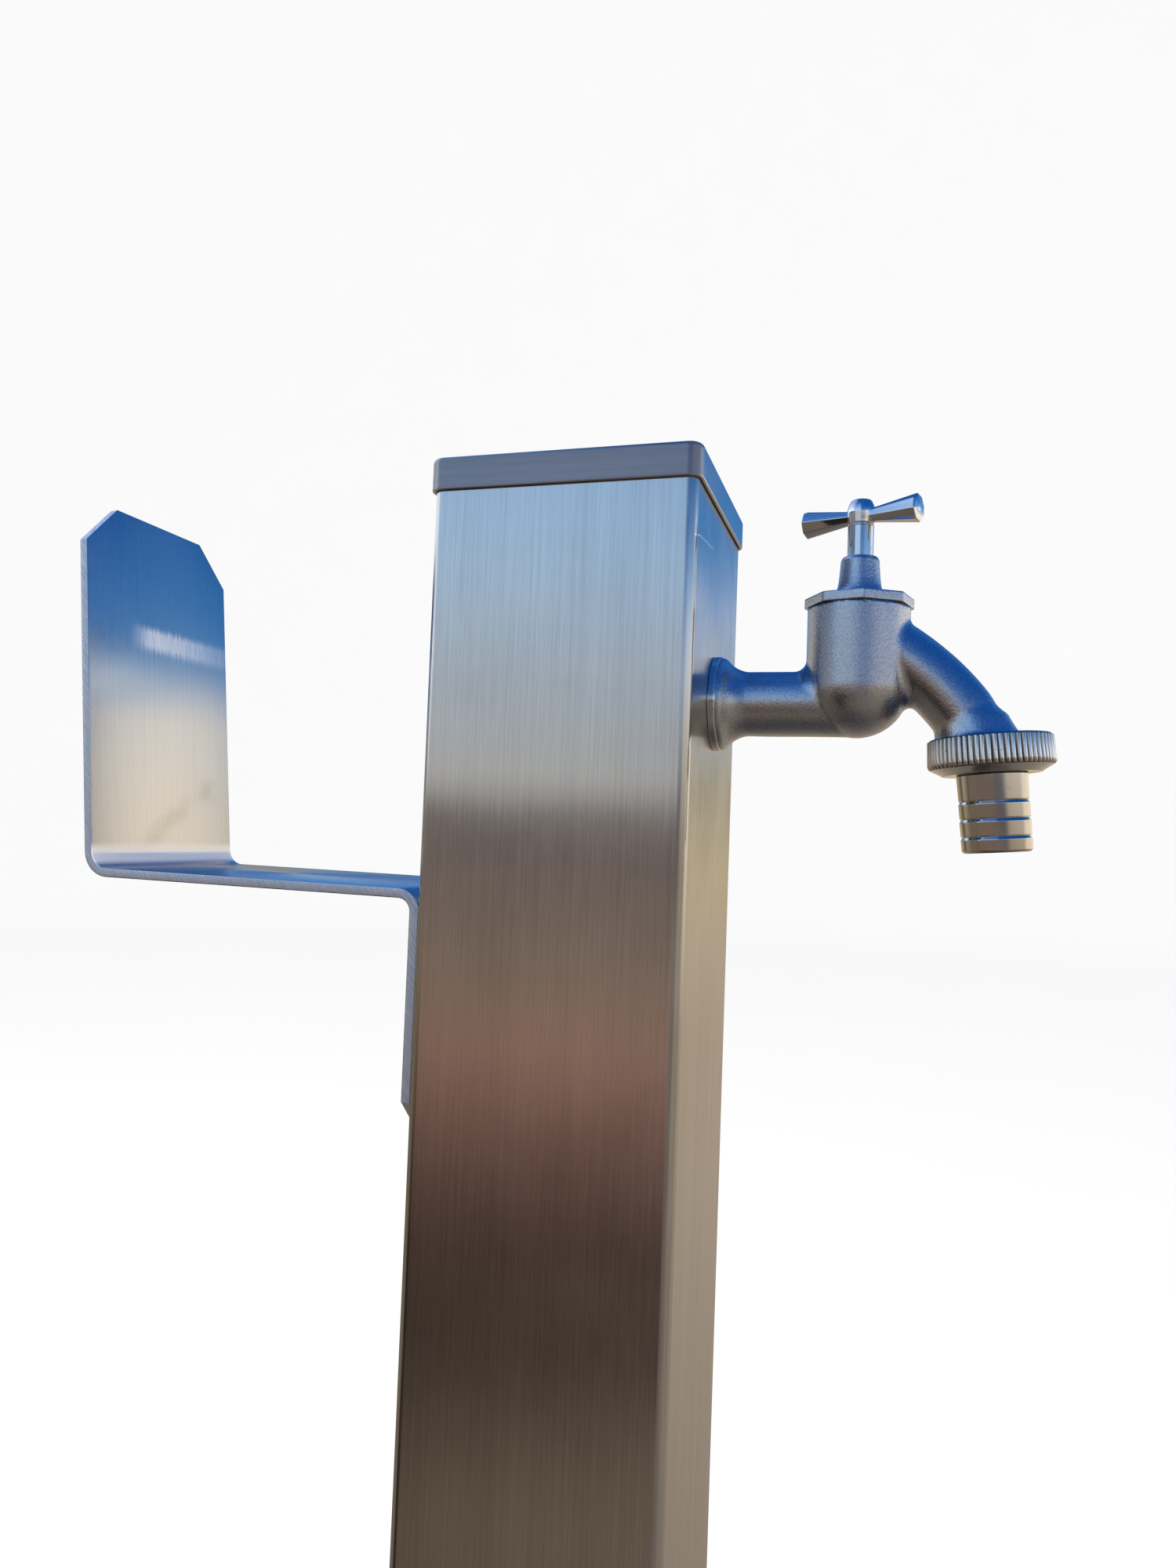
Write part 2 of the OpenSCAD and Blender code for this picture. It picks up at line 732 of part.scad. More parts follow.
// Tap casting: shank, inlet flange, pipe, valve chamber, spout and outlet thread
module tap_body() {
    cone_x = rosette_t + inlet_rim_len;
    pipe_x = cone_x + inlet_cone_len;
    color(satin_colour) difference() {
        union() {
            at_tap() {
                translate([-shank_len, 0, 0]) rotate([0, 90, 0])
                    cylinder(d = shank_d, h = shank_len + rosette_t);
                translate([rosette_t, 0, 0]) rotate([0, 90, 0])
                    cylinder(d = inlet_flange_d, h = inlet_rim_len);
                translate([cone_x, 0, 0]) rotate([0, 90, 0])
                    cylinder(d1 = inlet_flange_d, d2 = pipe_d, h = inlet_cone_len);
                translate([cone_x, 0, 0]) rotate([0, 90, 0])
                    cylinder(d = pipe_d, h = body_reach - cone_x);
                spout_sweep(spout_d);
            }
            at_valve() translate([0, 0, bowl_z]) {
                cylinder(r = bowl_r, h = body_top - bowl_z);
                rotate([0, 90, 0]) sphere(r = bowl_r);
            }
            at_outlet() {
                outlet_thread();
                translate([-foot_inset, 0, collar_rise])
                    cylinder(d1 = foot_low_d, d2 = foot_high_d, h = foot_h);
            }
        }
        at_tap() translate([-shank_len - cut, 0, 0]) rotate([0, 90, 0])
            cylinder(d = inlet_bore_d, h = shank_len + body_reach + seat_bore_d / 2 + cut);
        at_valve() {
            cylinder(d = seat_bore_d, h = seat_z + cut);
            difference() {
                translate([0, 0, chamber_floor])
                    cylinder(d = chamber_d + 2 * running_gap, h = body_top - chamber_floor + cut);
                translate([0, 0, chamber_floor]) cylinder(d = seat_d, h = seat_z - chamber_floor);
            }
        }
        at_tap() difference() {
            spout_sweep(spout_bore_d);
            translate([body_reach, 0, -cut]) cylinder(d = seat_d, h = seat_z + cut);
        }
        at_outlet() {
            translate([0, 0, -outlet_thread_len - cut])
                cylinder(d = outlet_bore_d, h = outlet_thread_len - outlet_roof + cut);
            translate([-throat_inset, 0, -outlet_roof - cut])
                cylinder(d = throat_d, h = outlet_roof + spout_end_rise + 2 * cut);
        }
    }
}

// Flat gasket between the casting and the bonnet
module bonnet_gasket() {
    color(rubber_colour) at_valve() translate([0, 0, body_top])
        ring(body_d - 2 * gasket_inset, chamber_d + 2 * running_gap, gasket_t);
}

// Bonnet: threaded foot, octagon and tapered neck, bored for the spindle
module bonnet() {
    color(satin_colour) at_valve() rotate([0, 0, bonnet_turn]) difference() {
        union() {
            translate([0, 0, bonnet_bottom]) cylinder(d = chamber_d, h = octagon_z - bonnet_bottom);
            translate([0, 0, octagon_z])
                cylinder(d = octagon_af / cos(22.5), h = octagon_t, $fn = 8);
            translate([0, 0, neck_z])
                cylinder(d1 = neck_foot_d, d2 = neck_top_d, h = neck_h - neck_chamfer);
            translate([0, 0, neck_z])
                cylinder(d1 = neck_foot_d + 2 * neck_flare, d2 = neck_foot_d, h = neck_flare_h);
            translate([0, 0, neck_top - neck_chamfer])
                cylinder(d1 = neck_top_d, d2 = neck_top_d - neck_chamfer, h = neck_chamfer);
        }
        translate([0, 0, bonnet_bottom - cut])
            cylinder(d = spindle_thread_d + 2 * running_gap, h = thread_room_top - bonnet_bottom + cut);
        cylinder(d = stem_d + 2 * running_gap, h = neck_top + cut);
        translate([0, 0, neck_top - stem_recess_h])
            cylinder(d = stem_d + 2 * stem_recess_w, h = stem_recess_h + cut);
    }
}

// Spindle: threaded foot, stem with ring grooves and a square top for the handle
module spindle() {
    color(chrome_colour) at_valve() difference() {
        union() {
            translate([0, 0, spindle_bottom]) cylinder(d = spindle_thread_d, h = spindle_thread_len);
            translate([0, 0, spindle_bottom]) cylinder(d = stem_d, h = hub_bottom - spindle_bottom);
            rotate([0, 0, handle_turn])
                translate([-stem_square / 2, -stem_square / 2, hub_bottom - cut])
                    cube([stem_square, stem_square, square_top - hub_bottom + cut]);
        }
        translate([0, 0, spindle_bottom - cut])
            cylinder(d = jumper_stem_d + 2 * running_gap, h = jumper_stem_len + 2 * cut);
        translate([0, 0, square_top - handle_screw_len])
            cylinder(d = handle_screw_d + 2 * running_gap, h = handle_screw_len + cut);
        at_o_rings() translate([0, 0, -ring_groove_w / 2]) difference() {
            cylinder(d = stem_d + cut, h = ring_groove_w);
            translate([0, 0, -cut])
                cylinder(d = stem_d - 2 * ring_groove_depth, h = ring_groove_w + 2 * cut);
        }
    }
}

// Height of each O-ring's middle on the spindle
module at_o_rings() {
    for (n = [0 : ring_count - 1])
        translate([0, 0, neck_top - ring_top_drop - n * ring_pitch]) children();
}

// O-rings in the spindle's grooves
module spindle_o_rings() {
    color(rubber_colour) at_valve() at_o_rings() rotate_extrude()
        translate([stem_d / 2 - ring_groove_depth + ring_d / 2 + ring_squeeze, 0]) circle(d = ring_d);
}

// T-handle: hub with a square hole and two faceted arms that flare outwards
module t_handle() {
    half_len = handle_len / 2;
    color(chrome_colour) at_valve() rotate([0, 0, handle_turn]) difference() {
        union() {
            translate([0, 0, hub_bottom]) {
                cylinder(d = hub_d + 2 * hub_rim, h = hub_rim_h);
                translate([0, 0, hub_rim_h])
                    cylinder(d1 = hub_d + 2 * hub_rim, d2 = hub_d, h = hub_rim);
                cylinder(d = hub_d, h = hub_h - hub_chamfer);
                translate([0, 0, hub_h - hub_chamfer])
                    cylinder(d1 = hub_d, d2 = hub_d - 2 * hub_chamfer, h = hub_chamfer);
            }
            for (s = [0, 180]) rotate([0, 0, s])
                translate([0, 0, hub_bottom + arm_axis_h]) rotate([0, 90, 0]) rotate([0, 0, 22.5]) {
                    translate([0, 0, hub_d / 2 - arm_root_inset])
                        cylinder(d = arm_root_af / cos(22.5), h = arm_root_inset, $fn = 8);
                    translate([0, 0, hub_d / 2]) cylinder(
                        d1 = arm_root_af / cos(22.5), d2 = arm_end_af / cos(22.5),
                        h = half_len - arm_end_chamfer - hub_d / 2, $fn = 8
                    );
                    translate([0, 0, half_len - arm_end_chamfer]) cylinder(
                        d1 = arm_end_af / cos(22.5), d2 = (arm_end_af - 2 * arm_end_chamfer) / cos(22.5),
                        h = arm_end_chamfer, $fn = 8
                    );
                }
        }
        hole = stem_square + 2 * square_gap;
        translate([-hole / 2, -hole / 2, hub_bottom - cut])
            cube([hole, hole, square_top - hub_bottom + cut + square_gap]);
        translate([0, 0, hub_bottom]) cylinder(d = handle_screw_d + 2 * running_gap, h = hub_h + cut);
        translate([0, 0, hub_top - handle_head_h])
            cylinder(d = handle_head_d + 2 * running_gap, h = handle_head_h + cut);
    }
}

// Screw that holds the handle on the spindle, flush in the hub
module handle_screw() {
    head_bottom = hub_top - handle_head_h;
    color(chrome_colour) at_valve() difference() {
        union() {
            translate([0, 0, head_bottom]) cylinder(d = handle_head_d, h = handle_head_h);
            translate([0, 0, square_top - handle_screw_len + cut])
                cylinder(d = handle_screw_d, h = head_bottom - square_top + handle_screw_len);
        }
        slot_w = slot_share * handle_head_d;
        translate([-handle_head_d, -slot_w / 2, hub_top - handle_head_h / 2])
            cube([2 * handle_head_d, slot_w, handle_head_h]);
    }
}

// Jumper: disc, stem and stud that carry the washer under the spindle
module valve_jumper() {
    color(brass_colour) at_valve() {
        translate([0, 0, jumper_z]) cylinder(d = washer_rubber_d, h = jumper_disc_t);
        translate([0, 0, jumper_z]) cylinder(d = jumper_stem_d, h = jumper_disc_t + jumper_stem_len);
        translate([0, 0, seat_z - washer_nut_h])
            cylinder(d = jumper_stud_d, h = washer_nut_h + washer_rubber_t + jumper_disc_t);
    }
}

// Rubber washer that closes on the seat
module valve_washer() {
    color(rubber_colour) at_valve() translate([0, 0, seat_z])
        ring(washer_rubber_d, jumper_stud_d + 2 * running_gap, washer_rubber_t);
}

// Nut that holds the washer on the jumper, inside the seat's bore
module washer_nut() {
    color(brass_colour) at_valve() translate([0, 0, seat_z - washer_nut_h])
        hex_ring(washer_nut_d * cos(30), jumper_stud_d + 2 * running_gap, washer_nut_h);
}

// Flat gasket between the outlet thread and the nozzle
module outlet_gasket() {
    color(rubber_colour) at_outlet() translate([0, 0, -outlet_thread_len - outlet_gasket_t])
        ring(nozzle_flange_d, outlet_bore_d, outlet_gasket_t);
}

// Hose nozzle: flange inside the nut, plain shank, then barbs
module hose_nozzle() {
    flange_top = -outlet_thread_len - outlet_gasket_t;
    flange_low = flange_top - nozzle_flange_t;
    tip = -nut_h - nozzle_len;
    r = nozzle_d / 2;
    barb_tops = [for (n = [0 : barb_count - 1]) -nut_h - first_barb - n * barb_pitch];
    barbs = [for (n = [0 : barb_count - 1]) each [
        [r - barb_step, barb_tops[n]],
        [r, barb_tops[n] - barb_cone_h],
        [r - barb_taper, n < barb_count - 1 ? barb_tops[n + 1] : tip + nozzle_tip_r]
    ]];
    color(chrome_colour) at_outlet() difference() {
        rotate_extrude() polygon(concat(
            [[0, flange_top], [nozzle_flange_d / 2, flange_top], [nozzle_flange_d / 2, flange_low]],
            [[r - shank_relief, flange_low], [r - shank_relief, -nut_h]],
            [[r, -nut_h - shank_relief], [r, -nut_h - first_barb]],
            barbs,
            [[r - barb_taper - nozzle_tip_r, tip], [0, tip]]
        ));
        translate([0, 0, tip - cut]) cylinder(d = nozzle_bore_d, h = flange_top - tip + 2 * cut);
    }
}

// Knurled nut that clamps the nozzle to the outlet thread
module union_nut() {
    pitch_angle = 360 / knurl_count;
    root_r = nut_d / 2 - knurl_depth;
    outline = [for (n = [0 : knurl_count - 1]) each [
        root_r * [cos(n * pitch_angle), sin(n * pitch_angle)],
        root_r * [cos((n + knurl_floor_share) * pitch_angle), sin((n + knurl_floor_share) * pitch_angle)],
        nut_d / 2 * [cos((n + 1 / 2) * pitch_angle), sin((n + 1 / 2) * pitch_angle)],
        nut_d / 2 * [
            cos((n + 1 / 2 + knurl_crest_share) * pitch_angle),
            sin((n + 1 / 2 + knurl_crest_share) * pitch_angle)
        ]
    ]];
    bore_d = outlet_thread_d + 2 * running_gap;
    color(chrome_colour) at_outlet() difference() {
        union() {
            translate([0, 0, -knurl_h]) linear_extrude(knurl_h - nut_edge) polygon(outline);
            translate([0, 0, -nut_edge]) cylinder(r1 = root_r, r2 = root_r - nut_edge, h = nut_edge);
            translate([0, 0, -nut_h])
                cylinder(r1 = nut_d / 2 - nut_foot_inset, r2 = root_r, h = nut_chamfer_h);
        }
        translate([0, 0, -nut_h + nut_lip]) cylinder(d = bore_d, h = nut_h);
        translate([0, 0, -nut_h - cut]) cylinder(d = nozzle_d + 2 * nut_hole_gap, h = nut_h);
    }
}

base_plate();
base_weld();
post_tube();
post_cap();
cap_clips();
hose_bracket();
bracket_screws();
bracket_washers();
bracket_rivet_nuts();
supply_grommet();
supply_coupling();
lower_pipe_nut();
pipe_olives();
riser_pipe();
elbow_pipe_nut();
inlet_elbow();
backnut();
backnut_washer();
rosette();
tap_body();
bonnet_gasket();
bonnet();
spindle();
spindle_o_rings();
t_handle();
handle_screw();
valve_jumper();
valve_washer();
washer_nut();
outlet_gasket();
hose_nozzle();
union_nut();
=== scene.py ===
"""Looks of the garden standpipe: brushed post and cap, bent hose bracket, bib tap, nut and hose nozzle."""
import json
import math

import bmesh
import bpy
import numpy as np
from mathutils import Matrix, Vector


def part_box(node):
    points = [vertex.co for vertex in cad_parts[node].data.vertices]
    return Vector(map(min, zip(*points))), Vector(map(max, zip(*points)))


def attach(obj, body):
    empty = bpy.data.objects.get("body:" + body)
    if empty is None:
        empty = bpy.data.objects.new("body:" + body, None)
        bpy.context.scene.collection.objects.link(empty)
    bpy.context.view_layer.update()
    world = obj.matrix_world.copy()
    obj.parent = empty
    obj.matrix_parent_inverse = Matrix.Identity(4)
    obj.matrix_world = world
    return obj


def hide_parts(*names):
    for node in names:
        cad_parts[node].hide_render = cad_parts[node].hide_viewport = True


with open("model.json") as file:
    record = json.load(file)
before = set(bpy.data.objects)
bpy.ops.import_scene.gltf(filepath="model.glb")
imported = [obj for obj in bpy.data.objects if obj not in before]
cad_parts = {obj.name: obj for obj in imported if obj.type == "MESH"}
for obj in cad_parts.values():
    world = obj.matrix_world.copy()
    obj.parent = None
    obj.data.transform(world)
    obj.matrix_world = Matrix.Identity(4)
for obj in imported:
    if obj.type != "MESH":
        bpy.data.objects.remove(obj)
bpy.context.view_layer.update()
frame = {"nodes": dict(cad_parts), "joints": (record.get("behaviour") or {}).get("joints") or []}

bl_info = {
    "name": "Garden standpipe",
    "version": (1, 0, 0),
    "blender": (4, 5, 0),
    "location": "3D View > Sidebar > Standpipe",
    "description": "Builds a garden standpipe with a bib tap and a hose bracket, its finishes and its stage",
    "category": "Add Mesh",
}

TURN = 2 * math.pi
MM = 0.001


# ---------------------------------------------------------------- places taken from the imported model

def joint(name):
    """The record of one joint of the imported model."""
    return next(j for j in frame["joints"] if j["name"] == name)


def place_at(x, y, z, up=(0, 0, 1)):
    """A place for points in millimetres. Its Z runs along up, and its Y is the model's."""
    turn = Matrix.Rotation(math.atan2(up[0], up[2]), 4, "Y")
    return Matrix.Translation((x, y, z)) @ turn @ Matrix.Scale(MM, 4)


POST_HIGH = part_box("post_tube")[1]
INLET_Z = sum(corner.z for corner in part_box("rosette")) / 2
AT_GROUND = place_at(0, 0, 0)
AT_TAP = place_at(POST_HIGH.x, 0, INLET_Z)
AT_VALVE = place_at(joint("handle_turn")["pos_m"][0], 0, INLET_Z)
AT_OUTLET = place_at(*joint("union_nut_turn")["pos_m"], [-part for part in joint("nozzle_drop")["axis"]])
ON_ITS_SIDE = Matrix.Rotation(TURN / 4, 4, "Y")


# ---------------------------------------------------------------- shader arithmetic

class Wire:
    """An output of a shader node that can stand in ordinary arithmetic."""

    def __init__(self, bench, node, output):
        self.bench, self.made, self.socket = bench, node, output

    def out(self, name):
        """An output of the same node, by name or number."""
        return Wire(self.bench, self.made, self.made.outputs[name])

    def _with(self, operation, other, swapped=False):
        kinds = [part.socket.type for part in (self, other) if isinstance(part, Wire)]
        kind = next((kind for kind in kinds if kind != "VALUE"), "VALUE")
        pair = [other, self] if swapped else [self, other]
        if kind == "VALUE":
            return self.bench.node("ShaderNodeMath", {"operation": operation}, pair)
        pair = [part if isinstance(part, (Wire, tuple)) else (part,) * 3 for part in pair]
        if kind == "RGBA":
            return self.bench.mix(1.0, *pair, operation)
        return self.bench.node("ShaderNodeVectorMath", {"operation": operation}, pair)

    def __add__(self, other):
        return self._with("ADD", other)

    __radd__ = __add__

    def __sub__(self, other):
        return self._with("SUBTRACT", other)

    def __rsub__(self, other):
        return self._with("SUBTRACT", other, swapped=True)

    def __mul__(self, other):
        return self._with("MULTIPLY", other)

    __rmul__ = __mul__

    def least(self, other):
        """The smaller of the two."""
        return self._with("MINIMUM", other)

    def most(self, other):
        """The larger of the two."""
        return self._with("MAXIMUM", other)

    def step(self, start, end):
        """0 below start, 1 past end, and a smooth rise between them."""
        return self.bench.node(
            "ShaderNodeMapRange", {"interpolation_type": "SMOOTHSTEP", "clamp": True},
            {"Value": self, "From Min": start, "From Max": end})

    def band(self, start, full, fading, end):
        """0 outside start and end, 1 between full and fading, with smooth flanks."""
        return self.step(start, full) * (1.0 - self.step(fading, end))


class Bench:
    """The node tree of one finish. Nodes are added as they are asked for."""

    def __init__(self, tree):
        self.tree = tree
        tree.nodes.clear()

    def node(self, kind, settings=None, feeds=()):
        """Adds a node of a type: its settings come first, then the values or links of its sockets.

        The sockets go by name or number, and the stops of a colour ramp are settings too.
        """
        made = self.tree.nodes.new(kind)
        for name, value in (settings or {}).items():
            if name == "stops":
                ramp = made.color_ramp
                while len(ramp.elements) < len(value):
                    ramp.elements.new(1.0)
                for element, (place, colour) in zip(ramp.elements, value):
                    element.position, element.color = place, (*colour, 1.0)
            else:
                setattr(made, name, value)
        pairs = feeds.items() if isinstance(feeds, dict) else enumerate(feeds)
        for name, value in pairs:
            socket = made.inputs[name]
            if isinstance(value, Wire):
                self.tree.links.new(value.socket, socket)
            elif hasattr(value, "__len__") and len(value) == 3 and socket.type == "RGBA":
                socket.default_value = (*value, 1.0)
            else:
                socket.default_value = value
        shown = [o for o in made.outputs if o.enabled] or [None]
        return Wire(self, made, shown[0])

    def mix(self, factor, first, second, blend="MIX"):
        """Mixes two colours."""
        return self.node("ShaderNodeMix", {"data_type": "RGBA", "blend_type": blend}, {
            0: factor, 6: first, 7: second}).out(2)

    def place(self, scale=1.0):
        """The point in the piece's own millimetres, stretched by one scale or by one along each axis."""
        scale = scale if hasattr(scale, "__len__") else (scale,) * 3
        return self.node("ShaderNodeTexCoord").out("Object") * tuple(part / MM for part in scale)

    def noise(self, point, detail=2.0, roughness=0.5, output="Fac"):
        """Soft noise from 0 to 1, one swell per unit of the point, or per millimetre over a scale."""
        point = point if isinstance(point, Wire) else self.place(point)
        return self.node("ShaderNodeTexNoise", {}, {
            "Vector": point, "Scale": 1.0, "Detail": detail, "Roughness": roughness}).out(output)

    def split(self, vector):
        """The three parts of a vector."""
        parts = self.node("ShaderNodeSeparateXYZ", {}, {"Vector": vector})
        return [parts.out(axis) for axis in "XYZ"]

    def trait(self, name):
        """What the mesh keeps at each point under a name."""
        return self.node("ShaderNodeAttribute", {"attribute_name": name}).out("Vector")

    def bump(self, height, distance):
        """A normal that is raised by a height, in metres at 1."""
        return self.node("ShaderNodeBump", {}, {
            "Height": height, "Distance": distance, "Strength": 1.0}).out("Normal")


def finish(name, recipe, **constants):
    """A material whose recipe returns what feeds its shader. Constants go straight on its sockets."""
    if name in bpy.data.materials:
        return bpy.data.materials[name]
    material = bpy.data.materials.new(name)
    material.use_nodes = True
    bench = Bench(material.node_tree)
    feeds = {key.replace("_", " "): value for key, value in constants.items()}
    feeds.update(recipe(bench))
    shader = bench.node("ShaderNodeBsdfPrincipled", {}, feeds)
    bench.node("ShaderNodeOutputMaterial", {}, {"Surface": shader})
    return material


# ---------------------------------------------------------------- finishes

RUBBER = (0.02, 0.02, 0.022)


def tone(colour, share):
    """A colour made lighter or darker by a share."""
    return tuple(part * share for part in colour)


def brushed(name, grain, colour, across=1.0, rotation=0.0, rough=0.235, ends=0.0, scratches=(), dust=0.0):
    """Brushed stainless steel. grain is the axis that the brushing runs along: 0, 1 or 2.

    ends is how much smoother the face past the post's right side is, and dust how dull the metal is in spots.
    """
    def recipe(b):
        fine, wide, broad = ([size] * 3 for size in (4.5 / across, 1.1 / across, 0.16 / across))
        fine[grain], wide[grain], broad[grain] = 0.045, 0.012, 0.006
        hair, streak, band = b.noise(fine, 3.0, 0.65), b.noise(wide, 2.0, 0.6), b.noise(broad)
        cloud = b.noise(0.03, 3.0, 0.6)
        worn = hair * 0.45 + streak * 0.35 + band * 0.2
        shade = (worn - 0.5) * 0.9 + (cloud - 0.5) * 0.25 + 0.5
        base = b.mix(shade.step(0.18, 0.82), tone(colour, 0.72), tone(colour, 1.20))
        dull = rough + (hair - 0.5) * 0.16 + (cloud - 0.5) * 0.10
        if ends:
            dull = dull - b.split(b.place())[0].step(FACE_X + 0.2, FACE_X + 1.2) * ends
        metal = 1.0 - cloud.step(0.25, 0.75) * dust
        for start, end, width, strength in scratches:
            mark = scratch(b, start, end, width) * strength
            base = b.mix(mark, base, (0.85, 0.87, 0.9))
            metal = metal - mark * 0.8
        return {"Base Color": base, "Roughness": dull.most(0.12), "Metallic": metal.most(0.0),
                "Normal": b.bump(hair * 0.7 + streak * 0.3, 0.000012)}
    return finish(name, recipe, Anisotropic=0.92, Anisotropic_Rotation=rotation)


def scratch(b, start, end, width):
    """A mask of a fine straight scratch between two points, in millimetres."""
    start, end = Vector(start), Vector(end)
    run = (end - start).normalized()
    away = b.place() - tuple(start)
    along = b.node("ShaderNodeVectorMath", {"operation": "DOT_PRODUCT"}, [away, tuple(run)]).out("Value")
    foot = along.most(0.0).least((end - start).length)
    path = b.node("ShaderNodeVectorMath", {"operation": "SCALE"}, {"Vector": tuple(run), "Scale": foot})
    gap = b.node("ShaderNodeVectorMath", {"operation": "LENGTH"}, [away - path]).out("Value")
    return (1.0 - gap.step(width * 0.4, width)) * b.noise(0.8, 2.0, 0.7).step(0.3, 0.6)


def cast_plate(name, colour, peel=1.0):
    """Satin plate on a sand-cast surface: an orange peel with finer grit on it and a few pits."""
    def recipe(b):
        warp = b.noise(0.7, 1.0, output="Color")
        skin_of = b.noise(b.place((1.6, 1.6, 1.2)) + warp * 0.9)
        sand = b.noise(3.4, 3.0, 0.65)
        swell = b.noise(0.2)
        pit = b.noise(0.9, 1.0).step(0.78, 0.84)
        shade = (skin_of * 0.45 + sand * 0.55).step(0.28, 0.72)
        base = b.mix(shade, tone(colour, 0.78), tone(colour, 1.14))
        return {"Base Color": b.mix(pit * 0.5, base, tone(colour, 0.4)),
                "Roughness": 0.27 + (sand - 0.5) * 0.2 + (swell - 0.5) * 0.08,
                "Normal": b.bump(skin_of * peel + sand * 0.36 - pit * 0.4, 0.00008)}
    return finish(name, recipe, Metallic=1.0)


def chrome(name, colour, roughness=0.09, groove_shade=0.0):
    """Polished plate with faint haze, wiping marks and spots, and painted shade in the grooves where it is
    ridged.
    """
    def recipe(b):
        haze = b.noise(0.22, 4.0, 0.6)
        wipe = b.noise((1.8, 1.8, 0.5), 3.0, 0.6)
        spot = b.noise(0.7, 1.0, 0.4).step(0.70, 0.76)
        base = b.mix(haze, tone(colour, 0.93), tone(colour, 1.04))
        base = b.mix(spot * 0.25, base, tone(colour, 0.7))
        rough = roughness + (haze - 0.5) * 0.07 + (wipe - 0.5) * 0.05 + spot * 0.12
        wave = b.noise(0.5, 1.0, 0.4) * 0.8 + wipe * 0.05 + spot * 0.05
        if groove_shade:
            # Painted shade: the grooves between the ridges are darkened and made rougher, where shade falls
            # between them.
            unshaded = (b.split(b.trait("groove"))[0] + (wipe - 0.5) * 0.35).step(0.05, 0.8)
            base = b.mix(unshaded, tone(colour, 1.0 - groove_shade), base)
            rough = rough + (1.0 - unshaded) * 0.12
        return {"Base Color": base, "Roughness": rough.most(0.03), "Normal": b.bump(wave, 0.000006)}
    return finish(name, recipe, Metallic=1.0)


def plate_face(name, colour):
    """Brushed plate whose grain follows the bends, with painted highlights on the bend and across the
    upright, and two faint smudges on the upright.
    """
    def recipe(b):
        flat = b.trait("unrolled")
        hair = b.noise(flat * (0.05, 3.6, 1.0), 3.0, 0.65)
        streak = b.noise(flat * (0.015, 0.9, 1.0), 2.0, 0.6)
        cloud = b.noise(flat * (0.03, 0.03, 1.0), 3.0, 0.6)
        smear = b.noise(flat * (0.11, 0.07, 1.0), 3.0, 0.55)
        run, side, deep = b.split(flat)
        inner = 1.0 - deep.step(1.0, 2.0)
        shade = (hair - 0.5) * 0.5 + (streak - 0.5) * 0.3 + (cloud - 0.5) * 0.25 + 0.5
        base = b.mix(shade.step(0.12, 0.88), tone(colour, 0.84), tone(colour, 1.16))
        long = (run - side * 0.62).band(196.0, 203.0, 204.5, 211.0) * side.band(-20.0, -2.0, 8.0, 18.0)
        short = run.band(208.0, 216.0, 216.5, 224.0) * side.band(14.0, 23.0, 26.0, 35.0)
        smudge = smear.step(0.25, 0.75) * (long + short) * inner * 0.30
        base = b.mix(smudge, base, (0.50, 0.43, 0.31))
        # Painted highlight: a whitish, less metallic streak across the upright and a line along the bend
        # stand in for bright reflections.
        ragged = run + (streak - 0.5) * 5.0
        painted_glint = ragged.band(264.0, 268.5, 272.0, 275.5) * side.band(-19.0, -5.0, -6.0, 62.0)
        painted_glint = painted_glint * (hair * 1.5).least(1.0)
        painted_glint = painted_glint.most(run.band(186.0, 190.5, 194.5, 197.5) * 0.85) * inner
        base = b.mix(painted_glint, base, (0.98, 0.93, 0.92))
        rough = 0.24 + (hair - 0.5) * 0.16 + (cloud - 0.5) * 0.10 + smudge * 0.15
        return {"Base Color": base, "Roughness": rough.most(0.12), "Metallic": 1.0 - painted_glint * 0.75,
                "Normal": b.bump(hair, 0.00001)}
    return finish(name, recipe, Anisotropic=0.9)


def sheared_edge(name, colour):
    """The cut edge of a plate: coarse slanted lines across it."""
    def recipe(b):
        x, _, z = b.split(b.place())
        line = b.node("ShaderNodeTexNoise", {"noise_dimensions": "1D"}, {
            "W": (x * 1.35 + z + b.noise(0.25) * 2.0) * 1.5,
            "Scale": 1.0, "Detail": 3.0, "Roughness": 0.7}).out("Fac")
        tooth = line.step(0.35, 0.65)
        return {"Base Color": b.mix(tooth, tone(colour, 1.15), tone(colour, 1.6)),
                "Roughness": 0.42 - (tooth - 0.5) * 0.2, "Normal": b.bump(line, 0.00018)}
    return finish(name, recipe, Metallic=1.0)


def plain_metal(name, colour, roughness):
    """A turned or drawn metal with slight tarnish and fine tool marks."""
    def recipe(b):
        tarnish = b.noise(0.12, 4.0, 0.6)
        mark = b.noise((0.4, 0.4, 3.0), 2.0, 0.6)
        return {"Base Color": b.mix(tarnish.step(0.35, 0.75), tone(colour, 1.05), tone(colour, 0.68)),
                "Roughness": roughness + (tarnish - 0.5) * 0.2 + (mark - 0.5) * 0.1,
                "Normal": b.bump(mark, 0.00002)}
    return finish(name, recipe, Metallic=1.0)


def soft_part(name, colour, roughness, fleck=0.0):
    """Rubber, fibre or plastic with a fine moulded or pressed surface."""
    def recipe(b):
        cloud = b.noise(0.2, 3.0, 0.6)
        grain = b.noise(3.0, 2.0, 0.7)
        base = b.mix(cloud, tone(colour, 0.8), tone(colour, 1.2))
        return {"Base Color": b.mix(grain.step(0.62, 0.75) * fleck, base, tone(colour, 1.9)),
                "Roughness": roughness + (grain - 0.5) * 0.15, "Normal": b.bump(grain, 0.00004)}
    return finish(name, recipe, Metallic=0.0)


